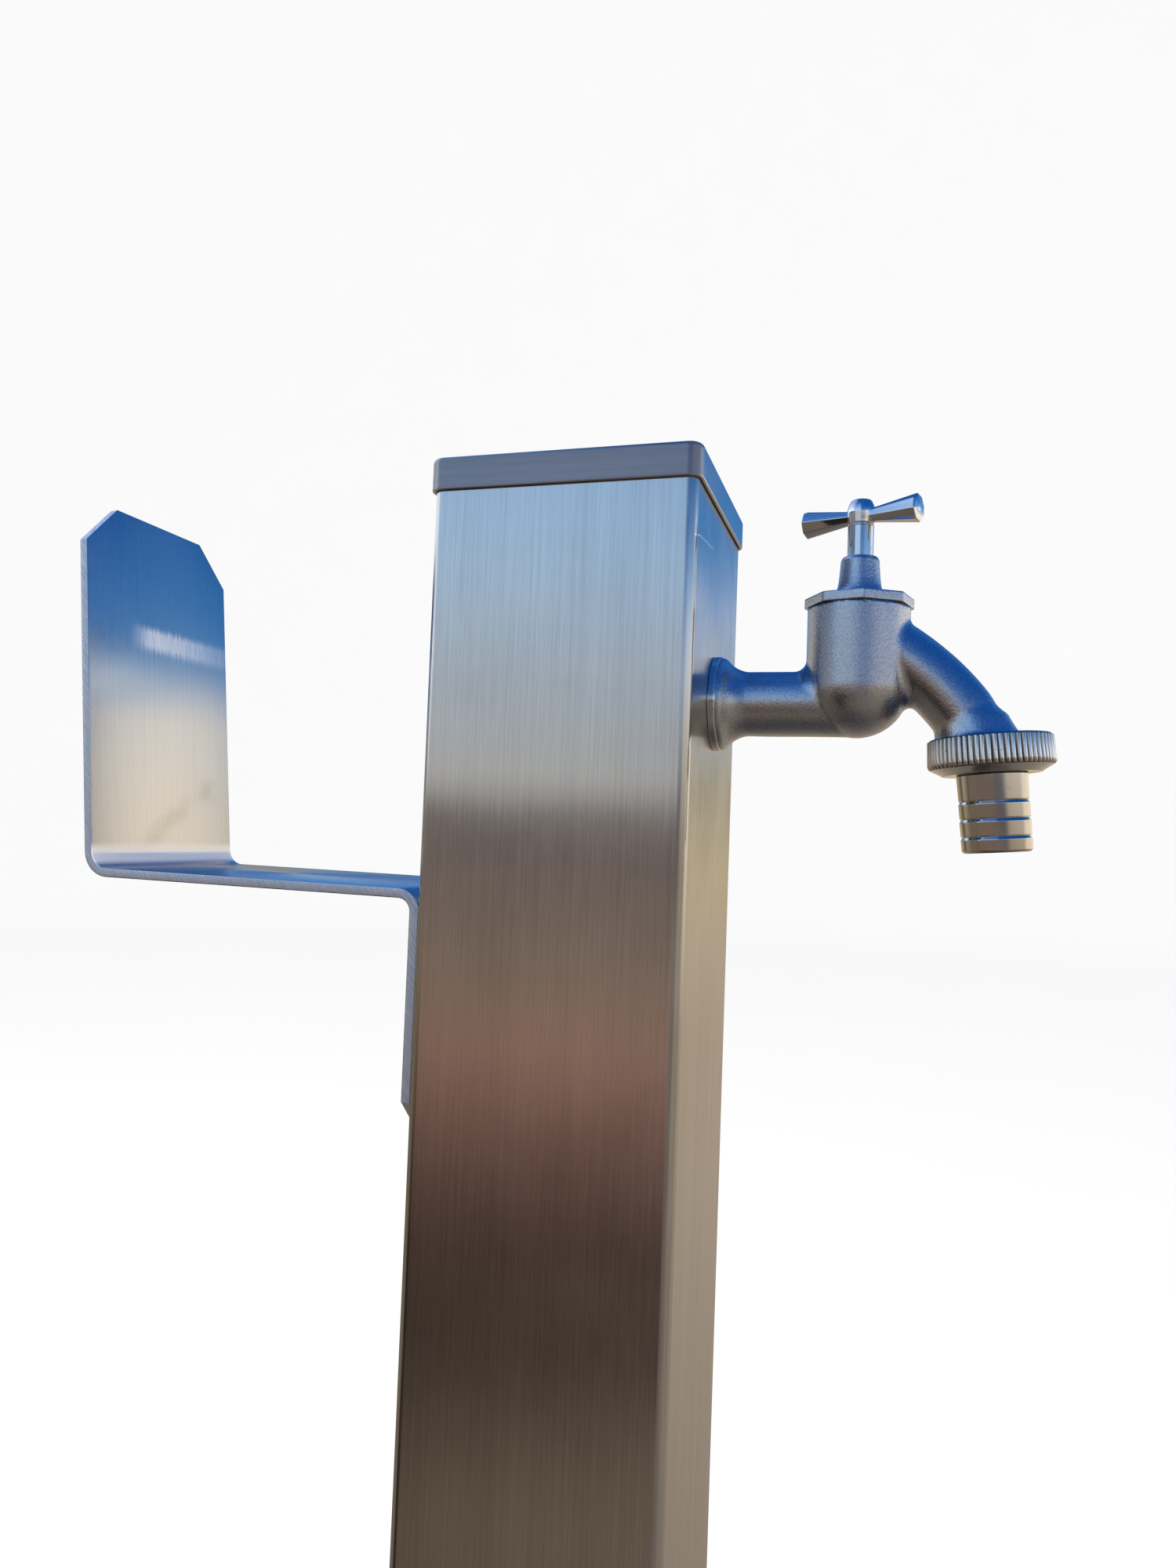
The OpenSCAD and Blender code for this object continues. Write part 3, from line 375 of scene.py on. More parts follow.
def weld_finish(name, colour):
    """A brushed weld bead with a trace of heat colour."""
    def recipe(b):
        heat = b.noise(0.05, 3.0, 0.6)
        grain = b.noise(2.0, 3.0, 0.6)
        base = b.mix(heat.step(0.4, 0.7), colour, (0.42, 0.38, 0.36))
        return {"Base Color": b.mix(grain * 0.3, base, tone(colour, 0.6)),
                "Roughness": 0.38 + (grain - 0.5) * 0.2, "Normal": b.bump(grain, 0.00008)}
    return finish(name, recipe, Metallic=1.0)


# ---------------------------------------------------------------- mesh making

def placed(name, data):
    """A new object in the scene that holds some data."""
    made = bpy.data.objects.new(name, data)
    bpy.context.scene.collection.objects.link(made)
    return made


def build(name, shape, place, materials, body, replaces=(), sharp=40.0, traits=None):
    """A piece from a shape in millimetres, set in its place, with its finishes and body.

    shape is points, faces and, where there are more finishes than one, the finish's number for each face.
    """
    points, faces, *which = shape
    piece = placed(name, bpy.data.meshes.new(name))
    mesh = piece.data
    mesh.from_pydata([tuple(p) for p in points], [], [tuple(int(i) for i in f) for f in faces])
    mesh.transform(place)
    if which:
        mesh.polygons.foreach_set("material_index", [int(n) for n in which[0]])
    for trait, values in (traits or {}).items():
        kept = mesh.attributes.new(trait, "FLOAT_VECTOR", "POINT")
        kept.data.foreach_set("vector", np.asarray(values, float).ravel())
    tidy = bmesh.new()
    tidy.from_mesh(mesh)
    bmesh.ops.remove_doubles(tidy, verts=tidy.verts, dist=1e-7)
    bmesh.ops.recalc_face_normals(tidy, faces=tidy.faces)
    tidy.to_mesh(mesh)
    tidy.free()
    mesh.shade_smooth()
    mesh.set_sharp_from_angle(angle=math.radians(sharp))
    for material in materials:
        mesh.materials.append(material)
    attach(piece, body)
    if replaces:
        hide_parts(*replaces)


def dress(node, material):
    """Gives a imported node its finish."""
    mesh = frame["nodes"][node].data
    if not mesh.materials:
        mesh.materials.append(material)
    for index in range(len(mesh.materials)):
        mesh.materials[index] = material


def strips(rows, columns, round_again=False):
    """Faces between the rings of a grid of points, and from the last to the first where it goes round."""
    u, v = (part.ravel() for part in np.indices((rows if round_again else rows - 1, columns)))
    right, up = (v + 1) % columns, (u + 1) % rows
    return np.stack([u * columns + v, u * columns + right, up * columns + right, up * columns + v], 1)


def soften(outline, radius, steps=5, closed=False):
    """An outline with its corners rounded where there is room, and held flat up to each rounding."""
    outline = [np.asarray(p, float) for p in outline]
    made = []
    for n, corner in enumerate(outline):
        if not closed and n in (0, len(outline) - 1):
            made.append(corner)
            continue
        ways = outline[n - 1] - corner, outline[(n + 1) % len(outline)] - corner
        reach = min(radius, *(0.4 * np.linalg.norm(way) for way in ways))
        back, on = (way / np.linalg.norm(way) * reach for way in ways)
        made.append(corner + back * 1.25)
        made += [corner + (1 - t) ** 2 * back + t ** 2 * on for t in np.linspace(0, 1, steps + 1)]
        made.append(corner + on * 1.25)
    return made


def lathe(outline, count, shape=None):
    """Points and faces of an outline of (r, z) turned about Z. shape changes its radius."""
    outline = np.asarray(outline, float)
    angle = np.arange(count) * TURN / count
    radius, height = (np.repeat(part[:, None], count, 1) for part in outline.T)
    if shape:
        radius = shape(radius, height, angle[None, :])
    points = np.stack([radius * np.cos(angle), radius * np.sin(angle), height], -1)
    return points.reshape(-1, 3), strips(len(outline), count)


def loft(rings, shut=True):
    """Points and faces of a skin over rings of points, closed at its last ring and, if shut, at its first."""
    rings = np.asarray(rings, float)
    rows, count = rings.shape[:2]
    faces = strips(rows, count).tolist()
    if shut:
        faces.append(list(range(count)))
    faces.append(list(range((rows - 1) * count, rows * count)))
    return rings.reshape(-1, 3), faces


def moved(shape, matrix):
    """A shape moved by a matrix."""
    points, faces = shape
    matrix = np.array(matrix)
    return points @ matrix[:3, :3].T + matrix[:3, 3], faces


def joined(*parts):
    """Several shapes as one."""
    points, faces, count = [], [], 0
    for some, links in parts:
        points.append(np.asarray(some, float))
        faces += [tuple(int(i) + count for i in f) for f in links]
        count += len(some)
    return np.concatenate(points), faces


def thread(crest, depth, low, high, count=96, steps=12):
    """A thread cut on a rod about Z: its outline winds round once for each pitch."""
    root = crest - depth
    rows = [low, *np.arange(low, high, PITCH / steps), high, high]

    def wind(radius, height, angle):
        turn = (height / PITCH - angle / TURN) % 1.0
        flank = np.clip((0.5 - np.abs(turn - 0.5)) * 3.2 - 0.3, 0, 1)
        runout = np.clip(np.minimum(height - low, high - height + PITCH) / PITCH, 0, 1)
        return np.where(radius > 0.01, root + depth * flank * runout, radius)

    radii = [0.0, *[root] * (len(rows) - 2), 0.0]
    return lathe(list(zip(radii, rows)), count, wind)


def skin(field, low, high, step):
    """Points and faces of a field's zero surface, which lies inside two corners, from a grid of cubes."""
    low = np.array(low)
    counts = np.ceil((np.array(high) - low) / step).astype(int) + 1
    grid = low + step * np.moveaxis(np.indices(counts), 0, -1)
    value = np.stack([field(layer.reshape(-1, 3)).reshape(counts[1:]) for layer in grid])
    total, hits, crossings = np.zeros([*counts, 3]), np.zeros(counts), []
    for axis in range(3):
        here, there = (np.take(value, np.arange(counts[axis] - 1) + n, axis) for n in (0, 1))
        cross = (here < 0) != (there < 0)
        where = np.argwhere(cross)
        point = low + where * step
        point[:, axis] += here[cross] / (here[cross] - there[cross]) * step
        across = np.roll(np.eye(3, dtype=int), axis, 1)[1:]
        cells = [tuple((where - np.array(back) @ across).T) for back in ((0, 0), (1, 0), (1, 1), (0, 1))]
        for cell in cells:
            np.add.at(total, cell, point)
            np.add.at(hits, cell, 1)
        crossings.append((cells, here[cross] < 0))
    used = hits > 0
    number = np.cumsum(used).reshape(used.shape) - 1
    points, faces = total[used] / hits[used][:, None], []
    for cells, inward in crossings:
        quad = np.stack([number[cell] for cell in cells], 1)
        faces.append(np.where(inward[:, None], quad, quad[:, ::-1]))
    for _ in range(3):
        points = settle(field, points, step * 0.02)
    return points, np.concatenate(faces)


def settle(field, points, nudge):
    """Moves points along the field's slope on to its zero surface."""
    slope = np.stack([
        (field(points + way) - field(points - way)) / (2 * nudge) for way in nudge * np.eye(3)], 1)
    size = np.maximum((slope ** 2).sum(1), 0.05)
    return points - np.clip(field(points) / size, -0.3, 0.3)[:, None] * slope


def meld(first, second, radius):
    """Joins two fields with a round fillet."""
    reach = np.sqrt(np.maximum(radius - first, 0) ** 2 + np.maximum(radius - second, 0) ** 2)
    return np.maximum(radius, np.minimum(first, second)) - reach


def both(first, second, radius=0.0):
    """What two fields share, with its edge rounded."""
    if not radius:
        return np.maximum(first, second)
    reach = np.sqrt(np.maximum(radius + first, 0) ** 2 + np.maximum(radius + second, 0) ** 2)
    return np.minimum(-radius, np.maximum(first, second)) + reach


def taper(points, start, end, first, last, edge):
    """Field of a cone from one radius to another between two points, with its edges rounded."""
    start, run = np.array(start), np.subtract(end, start)
    length = np.linalg.norm(run)
    along = (points - start) @ run / length
    away = np.linalg.norm(points - start - along[:, None] * run / length, axis=1)
    slope = (last - first) / length
    side = (away - first - slope * along) / math.hypot(1, slope)
    return both(side, np.abs(along - length / 2) - length / 2, edge)


def round_square(width, radius, steps=10):
    """Points round a square with round corners, anticlockwise, and the way out at each."""
    inner = width / 2 - radius
    points, out = [], []
    for corner, (sx, sy) in enumerate(((1, 1), (-1, 1), (-1, -1), (1, -1))):
        for t in np.linspace(corner * TURN / 4, (corner + 1) * TURN / 4, steps + 1):
            out.append((math.cos(t), math.sin(t)))
            points.append((sx * inner + radius * math.cos(t), sy * inner + radius * math.sin(t)))
    return np.array(points), np.array(out)


# ---------------------------------------------------------------- shapes of the pieces, in millimetres

STAND_H = 1000.0
FACE_X = POST_HIGH.x / MM
POST_W, POST_R = 2 * FACE_X, 3.0
POST_SCRATCHES = (((39.6, -38.5, 973.8), (40.0, -34.5, 974.6), 0.35, 1.0),
                  ((40.0, -33.5, 974.9), (40.0, -12.5, 976.8), 0.55, 0.5))
CAP_W, CAP_R, CAP_DEPTH, CAP_T = 82.6, 4.3, 10.0, 1.0
BASE_T, WELD_LEG, WELD_STEP, WELD_PITCH = 6.0, 2.55, 0.45, 1.5
ARM_Z, ARM_RISE, UPRIGHT_LEAN = 871.0, math.radians(0.7), math.radians(5.1)
FLANGE_LEN, ARM_LEN, UPRIGHT_LEN = 77.0, 117.0, 124.0
PLATE_T, PLATE_HALF, CHAMFER, FOOT_R, BEND_R = 3.0, 37.75, 14.4, 7.0, 6.0
SCREW_DROPS = (26.0, 54.0)
PITCH = 1.8
SHANK_R, SHANK_LEN = 10.45, 24.0
THREAD_R, THREAD_LEN = 13.2, 7.0
FLANGE_R, PIPE_R, SPOUT_R, WATERWAY_R = 14.2, 9.9, 9.4, 6.2
VALVE_AT, CHAMBER_R, CHAMBER_TOP, BOWL_Z = 42.8, 15.1, 28.7, 5.0
SEAT_R, SEAT_TOP = 8.0, 9.0
OUTLET_AT = (80.4, 0, -9.5)
OUTLET_IN_TAP = Matrix.Translation(OUTLET_AT) @ Matrix.Rotation(math.radians(-4.8), 4, "Y")
BONNET_FLAT, BONNET_TURN = 15.0, math.radians(30)
HANDLE_Z, HANDLE_TURN = 57.05, math.radians(-22.3)
NUT_ROOT, NUT_CREST, NUT_LOW = 16.9, 17.75, -10.8


def weld_bead():
    """A rippled bead along the post's foot."""
    corners = np.hstack(round_square(POST_W, POST_R))
    stations = []
    for here, there in zip(corners, np.roll(corners, -1, 0)):
        count = max(1, int(np.linalg.norm((there - here)[:2]) / WELD_STEP))
        stations += [here + (there - here) * k / count for k in range(count)]
    random = np.random.default_rng(5)
    wave = np.convolve(np.tile(random.normal(size=len(stations)), 3), np.hanning(25) / 12, "same")
    wave = wave[len(stations):2 * len(stations)]
    rings = []
    for n, station in enumerate(stations):
        point, way = station[:2], station[2:] / np.linalg.norm(station[2:])
        ripple = abs(math.sin(n * WELD_STEP / WELD_PITCH * math.pi + wave[n] * 0.5))
        leg = WELD_LEG + 0.3 * ripple + 0.12 * float(np.clip(wave[n], -1, 1))
        ring = []
        for t in np.linspace(0, TURN / 4, 8):
            reach = leg * (1 - math.sin(t)) * 0.35 + leg * 0.65 * math.cos(t)
            rise = min(leg * math.sin(t), 2.95)
            ring.append((*(point + way * (reach if t < 1.5 else -0.2)), BASE_T + rise))
        rings.append([*ring, (*(point - way * 0.2), BASE_T - 0.1)])
    rings = np.asarray(rings)
    return rings.reshape(-1, 3), strips(*rings.shape[:2], round_again=True)


def pressed_cap(edge):
    """A pressed square cap, open below."""
    low, bend = -CAP_DEPTH, 1.6
    outer = [(-CAP_T, low + edge), (edge * 0.3 - CAP_T, low + edge * 0.3), (edge - CAP_T, low), (-edge, low),
             (-edge * 0.3, low + edge * 0.3), (0.0, low + edge), (0.0, -9.4), (0.0, -5.0), (0.0, -1.85)]
    outer += [(-bend * (1 - math.cos(t)), -bend * (1 - math.sin(t))) for t in np.linspace(0, TURN / 4, 9)]
    outer += [(-1.85, 0.0), (-4.0, 0.0), (-12.0, 0.0), (-30.0, 0.0)]
    inner = [(-CAP_T, low + edge), (-CAP_T, -2.2), (-1.2, -1.4), (-2.0, -CAP_T), (-12.0, -CAP_T)]
    return joined(*(loft([[
        (*point, STAND_H + rise) for point in round_square(CAP_W + 2 * inset, max(CAP_R + inset, 0.4), 12)[0]]
        for inset, rise in rows], shut=False) for rows in (outer, inner)))


def bent_plate(edge):
    """The bracket's plate along its bends, and where each point was on the flat plate."""
    along = np.array([math.cos(ARM_RISE), math.sin(ARM_RISE)])
    up = np.array([math.sin(UPRIGHT_LEAN), math.cos(UPRIGHT_LEAN)])
    foot = FOOT_R * np.array([1, (1 - math.sin(ARM_RISE)) * math.tan(ARM_RISE) - math.cos(ARM_RISE)])
    bend_turn = TURN / 4 - UPRIGHT_LEAN - ARM_RISE
    tangent = BEND_R * math.tan(bend_turn / 2)
    arm_end = (ARM_LEN - tangent) * along
    bend = arm_end + BEND_R * np.array([-along[1], along[0]])
    stations = [(0.0, np.array([0.0, -FLANGE_LEN]), TURN / 4)]

    def go(point, heading, length):
        stations.append((stations[-1][0] + length, point, heading))

    def arc(centre, radius, start, sweep, steps, side):
        for angle in start + sweep * np.arange(1, steps + 1) / steps:
            go(centre + radius * np.array([math.cos(angle), math.sin(angle)]), angle + side * TURN / 4,
               (radius + side * PLATE_T / 2) * abs(sweep) / steps)

    go(np.array([0.0, foot[1]]), TURN / 4, FLANGE_LEN + foot[1])
    arc(foot, FOOT_R, TURN / 2, ARM_RISE - TURN / 4, 16, -1)
    go(arm_end, ARM_RISE, float(np.linalg.norm(arm_end - stations[-1][1])))
    arc(bend, BEND_R, ARM_RISE - TURN / 4, bend_turn, 20, 1)
    go(stations[-1][1] + (UPRIGHT_LEN - tangent) * up, TURN / 4 - UPRIGHT_LEAN, UPRIGHT_LEN - tangent)
    reach = [station[0] for station in stations]
    length = reach[-1]
    spots = [(s, 0.0) for s in sorted({
        *reach[1:-1], 0.6, CHAMFER, 40.0, 130.0, 240.0, length - CHAMFER, length - 0.6})]
    for turn in np.linspace(0, TURN / 4, 4):
        back, inset = edge * (1 - math.sin(turn)), edge * (1 - math.cos(turn))
        spots = [(back, inset), *spots, (length - back, inset)]
    rings, unrolled = [], []
    for s, inset in spots:
        n = min(max(int(np.searchsorted(reach, s)), 1), len(reach) - 1)
        share = (s - reach[n - 1]) / (reach[n] - reach[n - 1])
        point, heading = (stations[n - 1][i] * (1 - share) + stations[n][i] * share for i in (1, 2))
        half = PLATE_HALF - 15.0 * max(0.0, 1 - min(s, length - s) / CHAMFER)
        ring = []
        for quarter, (side, deep) in enumerate(((1, 1), (-1, 1), (-1, -1), (1, -1))):
            for t in np.linspace(quarter, quarter + 1, 4) * TURN / 4:
                y = side * (half - edge) + (edge - inset) * math.cos(t)
                d = PLATE_T / 2 + deep * (PLATE_T / 2 - edge) + (edge - inset) * math.sin(t)
                ring.append((-point[0] - math.sin(heading) * d, y, point[1] - math.cos(heading) * d))
                unrolled.append((s, y, d))
        rings.append(ring)
    points, faces = loft(rings)
    rows, cut = len(rings) - 1, []
    for n in range(rows * len(ring)):
        row, column = divmod(n, len(ring))
        cut.append(int(not 3 <= row < rows - 3 or column in (7, 15)))
    return (points, faces, [*cut, 1, 1]), unrolled


def hexagon_screw():
    """A hexagon screw over its washer, about Z, its head outwards."""
    base, height, flat = 1.6, 4.02, 5.01
    rows = [(0.0, 0.0), (flat * 1.1, 0.0), (flat * 1.2, 0.25),
            *((flat * 1.2, z) for z in np.linspace(0.4, height - 0.05, 14)),
            (flat * 0.93, height), (flat * 0.8, height), (flat * 0.3, height - 0.05), (0.0, height - 0.05)]

    def six(radius, rise, angle):
        facet = flat / np.cos((angle % (TURN / 6)) - TURN / 12)
        crown, root = flat * 0.95 + (height - rise) * 1.73, flat * 1.06 + rise * 3.0
        return np.minimum(np.minimum(radius, facet), np.minimum(crown, root))

    head = moved(lathe(rows, 120, six), Matrix.Translation((0, 0, base)))
    shaft = lathe([(0, base + 0.1), (2.9, base + 0.1), (2.9, -9.4), (2.4, -10.0), (0, -10.0)], 48)
    return joined(head, shaft)


def flat_washer():
    """A flat washer about Z."""
    return lathe(soften([(3.3, 0.02), (6.0, 0.02), (6.0, 1.6), (3.3, 1.6), (3.3, 0.02)], 0.2), 96)


def wobble(points, size, seed):
    """A slow unevenness from -1 to 1, swelling once for each size."""
    random = np.random.default_rng(seed)
    total = np.zeros(len(points))
    for _ in range(6):
        way = random.normal(size=3)
        way /= np.linalg.norm(way)
        total += np.sin(points @ way * TURN / size * random.uniform(0.7, 1.5) + random.uniform(0, TURN))
    return total / 6


def casting(points, fillet):
    """Field of the tap's casting from the post's face, X along the inlet, with its bores."""
    x, y, z = points.T
    around, column = np.hypot(y, z), np.hypot(x - VALVE_AT, y)
    fall = 4.3 / 4.1
    slant = (around - (FLANGE_R - (x - 3.3) * fall)) / math.hypot(1, fall)
    flange = both(both(around - FLANGE_R, 1.7 - x), slant, 0.5)
    inlet = meld(flange, both(both(around - PIPE_R, 2.6 - x), x - VALVE_AT), 2.4)
    chamber = np.minimum(both(both(column - CHAMBER_R, BOWL_Z - z), z - CHAMBER_TOP, 0.14),
                         np.hypot(column, z - BOWL_Z) - CHAMBER_R)
    body = meld(inlet, chamber, fillet * np.clip((z + 4) / 9, 0.06, 1) * np.clip((34 - x) / 6, 0.06, 1))
    body = meld(body, spout(points, SPOUT_R),
                fillet * np.clip((x - 47) / 6, 0.06, 1) * np.clip(1 - (z - 1) / 14, 0.35, 1))
    o = (points - np.array(OUTLET_AT)) @ np.array(OUTLET_IN_TAP)[:3, :3]
    out_x, out_y, out_z = o.T
    outlet = np.hypot(out_x, out_y)
    body = meld(body, taper(o, (-2.3, 0, -0.6), (-2.6, 0, 5.8), 11.1, 7.5, 0.5), 4.0)
    collar = np.minimum(both(both(outlet - THREAD_R, out_z - 0.3, 0.35), -1.2 - out_z),
                        both(both(outlet - 12.2, out_z), 0.1 - THREAD_LEN - out_z, 0.3))
    body = meld(body, collar, 0.7) + wobble(points, 16.0, 3) * 0.07 * np.clip((x - 8) / 6, 0, 1)
    seat = np.maximum(column - SEAT_R, z - SEAT_TOP)
    for bore in (
            both(around - 6.3, x - 48.3),
            both(column - 5.5, np.maximum(-z, z - 10)),
            both(both(column - 10.56, 6.5 - z), -seat),
            both(spout(points, WATERWAY_R), -seat),
            both(outlet - 8.5, np.maximum(out_z + 1.2, -9 - out_z)),
            both(np.hypot(out_x + 4.4, out_y) - 5.0, np.maximum(out_z - 1.8, -2.2 - out_z))):
        body = both(body, -bore, 0.25)
    return body


def spout(points, radius):
    """Field of the spout: a wide arc out of the chamber and a tight one down to the outlet."""
    x, y, z = points.T
    start, knee, end = (np.array([math.cos(a), math.sin(a)]) for a in np.radians((-27.98, -52.0, -85.2)))
    made = []
    for cx, cz, reach, first, last in ((8.96, -50.75, 80.0, start, knee), (60.67, -10.35, 14.38, knee, end)):
        ring = np.hypot(np.hypot(x - cx, z - cz) - reach, y) - radius
        ahead = (x - cx) * first[0] + (z - cz) * first[1]
        behind = (x - cx) * last[0] + (z - cz) * last[1]
        made.append(np.maximum(ring, np.maximum(-ahead, behind) - 0.4))
    return np.minimum(*made)


def octagon():
    """The bonnet's octagonal flange."""
    reach, turns = BONNET_FLAT / math.cos(TURN / 16), (np.arange(8) + 0.5) * TURN / 8
    outline = np.array(soften(reach * np.stack([np.cos(turns), np.sin(turns)], 1), 0.7, 4, closed=True))
    rows = ((0.45, 29.1), (0.925, 29.1), (0.93, 28.86), (0.985, 28.84), (0.993, 28.86), (0.998, 28.93),
            (1, 29.05), (1, 29.4), (1, 31.1), (1, 31.4), (0.997, 31.6), (0.985, 31.78), (0.97, 31.84),
            (0.93, 31.86), (0.5, 31.88), (0.4, 31.88))
    return loft([[(*(p * share), height) for p in outline] for share, height in rows])


def neck():
    """The bonnet's tapered neck, its foot and its recess round the stem."""
    outline = [(3.95, 22.0), (9.2, 22.0), (10.4, 23.2), (10.4, 29.3), (9.4, 31.7), (8.5, 32.0), (7.4, 33.0),
               (6.8, 34.2), (6.42, 35.6), (6.15, 37.4), (5.96, 39.4), (5.82, 41.2), (5.7, 43.3), (5.2, 44.35),
               (4.4, 44.35), (4.4, 43.2), (3.95, 43.2), (3.95, 22.0)]
    return lathe(soften(outline, 0.4), 128)


def crowned_octagon(turn, columns=96):
    """A ring round an octagon of width 1 over its flats, each flat slightly crowned, turned by degrees."""
    count = columns * 6
    fine = np.arange(count) * TURN / count
    flat = 0.5 / np.cos((fine - math.radians(turn) + TURN / 16) % (TURN / 8) - TURN / 16)
    window = np.hanning(17)
    radius = np.convolve(np.tile(flat * 0.86 + 0.516 * 0.14, 3), window / window.sum(), "same")
    radius, angle = radius[count:2 * count:6], fine[::6]
    return np.stack([radius * np.cos(angle), radius * np.sin(angle)], 1)


def t_handle():
    """The barrel hub and the two faceted arms that flare outwards."""
    hub = soften([
        (0.0, 53.75), (3.7, 53.75), (3.9, 53.9), (3.9, 54.1), (3.3, 54.2), (3.3, 54.5), (3.8, 54.65),
        (3.86, 55.4), (4.0, 56.6), (4.12, 57.8), (4.12, 58.9), (3.85, 60.1), (3.1, 61.7), (2.85, 61.9),
        (2.6, 61.8), (2.56, 61.4), (2.56, 60.2), (0.0, 60.2)], 0.7, 6)
    arm = ((2.2, 4.2), (4.3, 4.22), (17.6, 7.92), (17.72, 7.94), (17.82, 7.88), (17.9, 7.74), (17.96, 7.5),
           (18.04, 7.1), (18.14, 6.2), (18.24, 4.8), (18.32, 3.2), (18.36, 1.2))
    arms = [loft([[(side * x, y * side * flat, HANDLE_Z + z * flat) for y, z in crowned_octagon(turn)]
                  for x, flat in arm]) for side, turn in ((1, -7.5), (-1, 22.0))]
    return joined(lathe(hub, 128), *arms)


def knurled_nut(ridges):
    """The union nut: uneven rounded ridges, a lower chamfer and a turned rim, and how high each point is."""
    root, crest = NUT_ROOT, NUT_CREST
    random = np.random.default_rng(11)
    depth, shift = random.uniform(0.88, 1.0, ridges), random.uniform(-0.06, 0.06, ridges)
    lean = random.normal(0, 0.16, ridges)
    crown = [(13.3, -0.02), (15.4, 0.0), (16.1, -0.02), (16.6, -0.12), (root, -0.45), (crest - 0.42, -0.62),
             (crest - 0.38, -0.95), (crest - 0.2, -4.0), (crest - 0.02, -7.4), (crest - 0.05, -8.0),
             (crest - 0.35, -8.55), (root, -8.85)]
    foot = soften([(root, -8.85), (root - 0.1, -8.95), (14.15, -10.45), (13.75, NUT_LOW), (10.2, NUT_LOW),
                   (10.05, -9.25), (13.26, -9.2), (13.26, -0.3), (13.3, -0.02)], 0.15, 3)

    def ridge(radius, _, angle):
        place = angle / TURN * ridges
        number = np.floor(place).astype(int) % ridges
        phase = np.clip(place % 1.0 + shift[number], 0, 1)
        rise = (1 - np.abs(2 * phase - 1) ** 2.1) * (depth[number] + lean[number] * (phase - 0.5))
        return np.where(radius > root + 1e-6, root + (radius - root) * np.clip(rise, 0, 1), radius)

    points, faces = lathe([*crown, *foot[1:]], ridges * 16, ridge)
    x, y, z = points.T
    # How high each point stands on its ridge: the finish darkens the low ones as painted shade in the
    # grooves.
    high = np.where(z < -8.9, 0.55, np.clip((np.hypot(x, y) - root) / (crest - root), 0, 1))
    return (points, faces), np.repeat(high[:, None], 3, 1)


def barbed_nozzle():
    """The hose nozzle: its flange inside the nut, a plain shank and three barbs."""
    outline = [(7.5, -7.8), (13.1, -7.8), (13.1, -9.2), (9.5, -9.2), (9.5, NUT_LOW), (9.8, -11.05),
               (9.62, -18.4)]
    for top, low in ((-18.4, -23.5), (-23.5, -28.6), (-28.6, -32.8)):
        outline += [(9.25, top), (9.75, top - 1.0), (9.65, low)]
    outline += [(8.95, -33.4), (7.7, -33.4), (7.5, -33.2), (7.5, -7.8)]
    return lathe(soften(outline, 0.16, 4), 160)


# ---------------------------------------------------------------- sizes and colours

class StandpipeFinish(bpy.types.PropertyGroup):
    """Colours of the standpipe's finishes"""
    steel: bpy.props.FloatVectorProperty(
        name="Brushed steel", description="Colour of the post, cap and bracket",
        subtype="COLOR", size=3, min=0, max=1, default=(0.60, 0.595, 0.585))
    casting: bpy.props.FloatVectorProperty(
        name="Satin plate", description="Colour of the tap's casting",
        subtype="COLOR", size=3, min=0, max=1, default=(0.53, 0.55, 0.59))
    polish: bpy.props.FloatVectorProperty(
        name="Polished plate", description="Colour of the handle, nut, nozzle and rosette",
        subtype="COLOR", size=3, min=0, max=1, default=(0.70, 0.70, 0.70))
    brass: bpy.props.FloatVectorProperty(
        name="Brass", description="Colour of the hidden brass fittings",
        subtype="COLOR", size=3, min=0, max=1, default=(0.72, 0.52, 0.22))


class StandpipeSizes(bpy.types.PropertyGroup):
    """Sizes of the standpipe's fine detail"""
    fillet: bpy.props.FloatProperty(
        name="Casting fillet", description="Fillet where the pipe and spout meet the valve chamber",
        subtype="DISTANCE", unit="LENGTH", min=0, default=0.0035)
    sheet_edge: bpy.props.FloatProperty(
        name="Sheet edge", description="Rounding along the edges of the cap and the bracket",
        subtype="DISTANCE", unit="LENGTH", min=0, default=0.0003)
    ridges: bpy.props.IntProperty(
        name="Nut ridges", description="Ridges round the union nut", min=12, default=66)
    grid: bpy.props.FloatProperty(
        name="Casting grid", description="Grid size of the casting's mesh",
        subtype="DISTANCE", unit="LENGTH", min=0.0002, default=0.0006)


class StandpipeStage(bpy.types.PropertyGroup):
    """Floor, light and camera"""
    pale: bpy.props.FloatVectorProperty(
        name="Floor", description="Colour of the floor and of the wall behind",
        subtype="COLOR", size=3, min=0, max=1, default=(0.96, 0.96, 0.96))
    room: bpy.props.FloatProperty(
        name="Room light", description="Strength of the even light", min=0, default=1.0)
    softbox: bpy.props.FloatProperty(
        name="Softbox", description="Power of the soft key light", subtype="POWER", unit="POWER",
        min=0, default=60.0)
    camera_place: bpy.props.FloatVectorProperty(
        name="Camera", description="Where the camera stands", subtype="TRANSLATION", unit="LENGTH",
        size=3, default=(0.09718, -0.33065, 0.88908))
    camera_turn: bpy.props.FloatVectorProperty(
        name="Camera turn", description="Heading to the right, pitch up and roll of the camera",
        subtype="EULER", unit="ROTATION", size=3,
        default=(math.radians(-16.42), math.radians(2.68), math.radians(2.13)))
    focal: bpy.props.FloatProperty(
        name="Focal length", description="Focal length on a 36 mm frame", min=5, default=24.687)


# ---------------------------------------------------------------- operators

class Piece:
    """What the operators share."""
    bl_options = {"REGISTER", "UNDO"}

    def execute(self, context):
        scene = context.scene
        self.make(scene.standpipe_finish, scene.standpipe_sizes, scene.standpipe_stage)
        return {"FINISHED"}


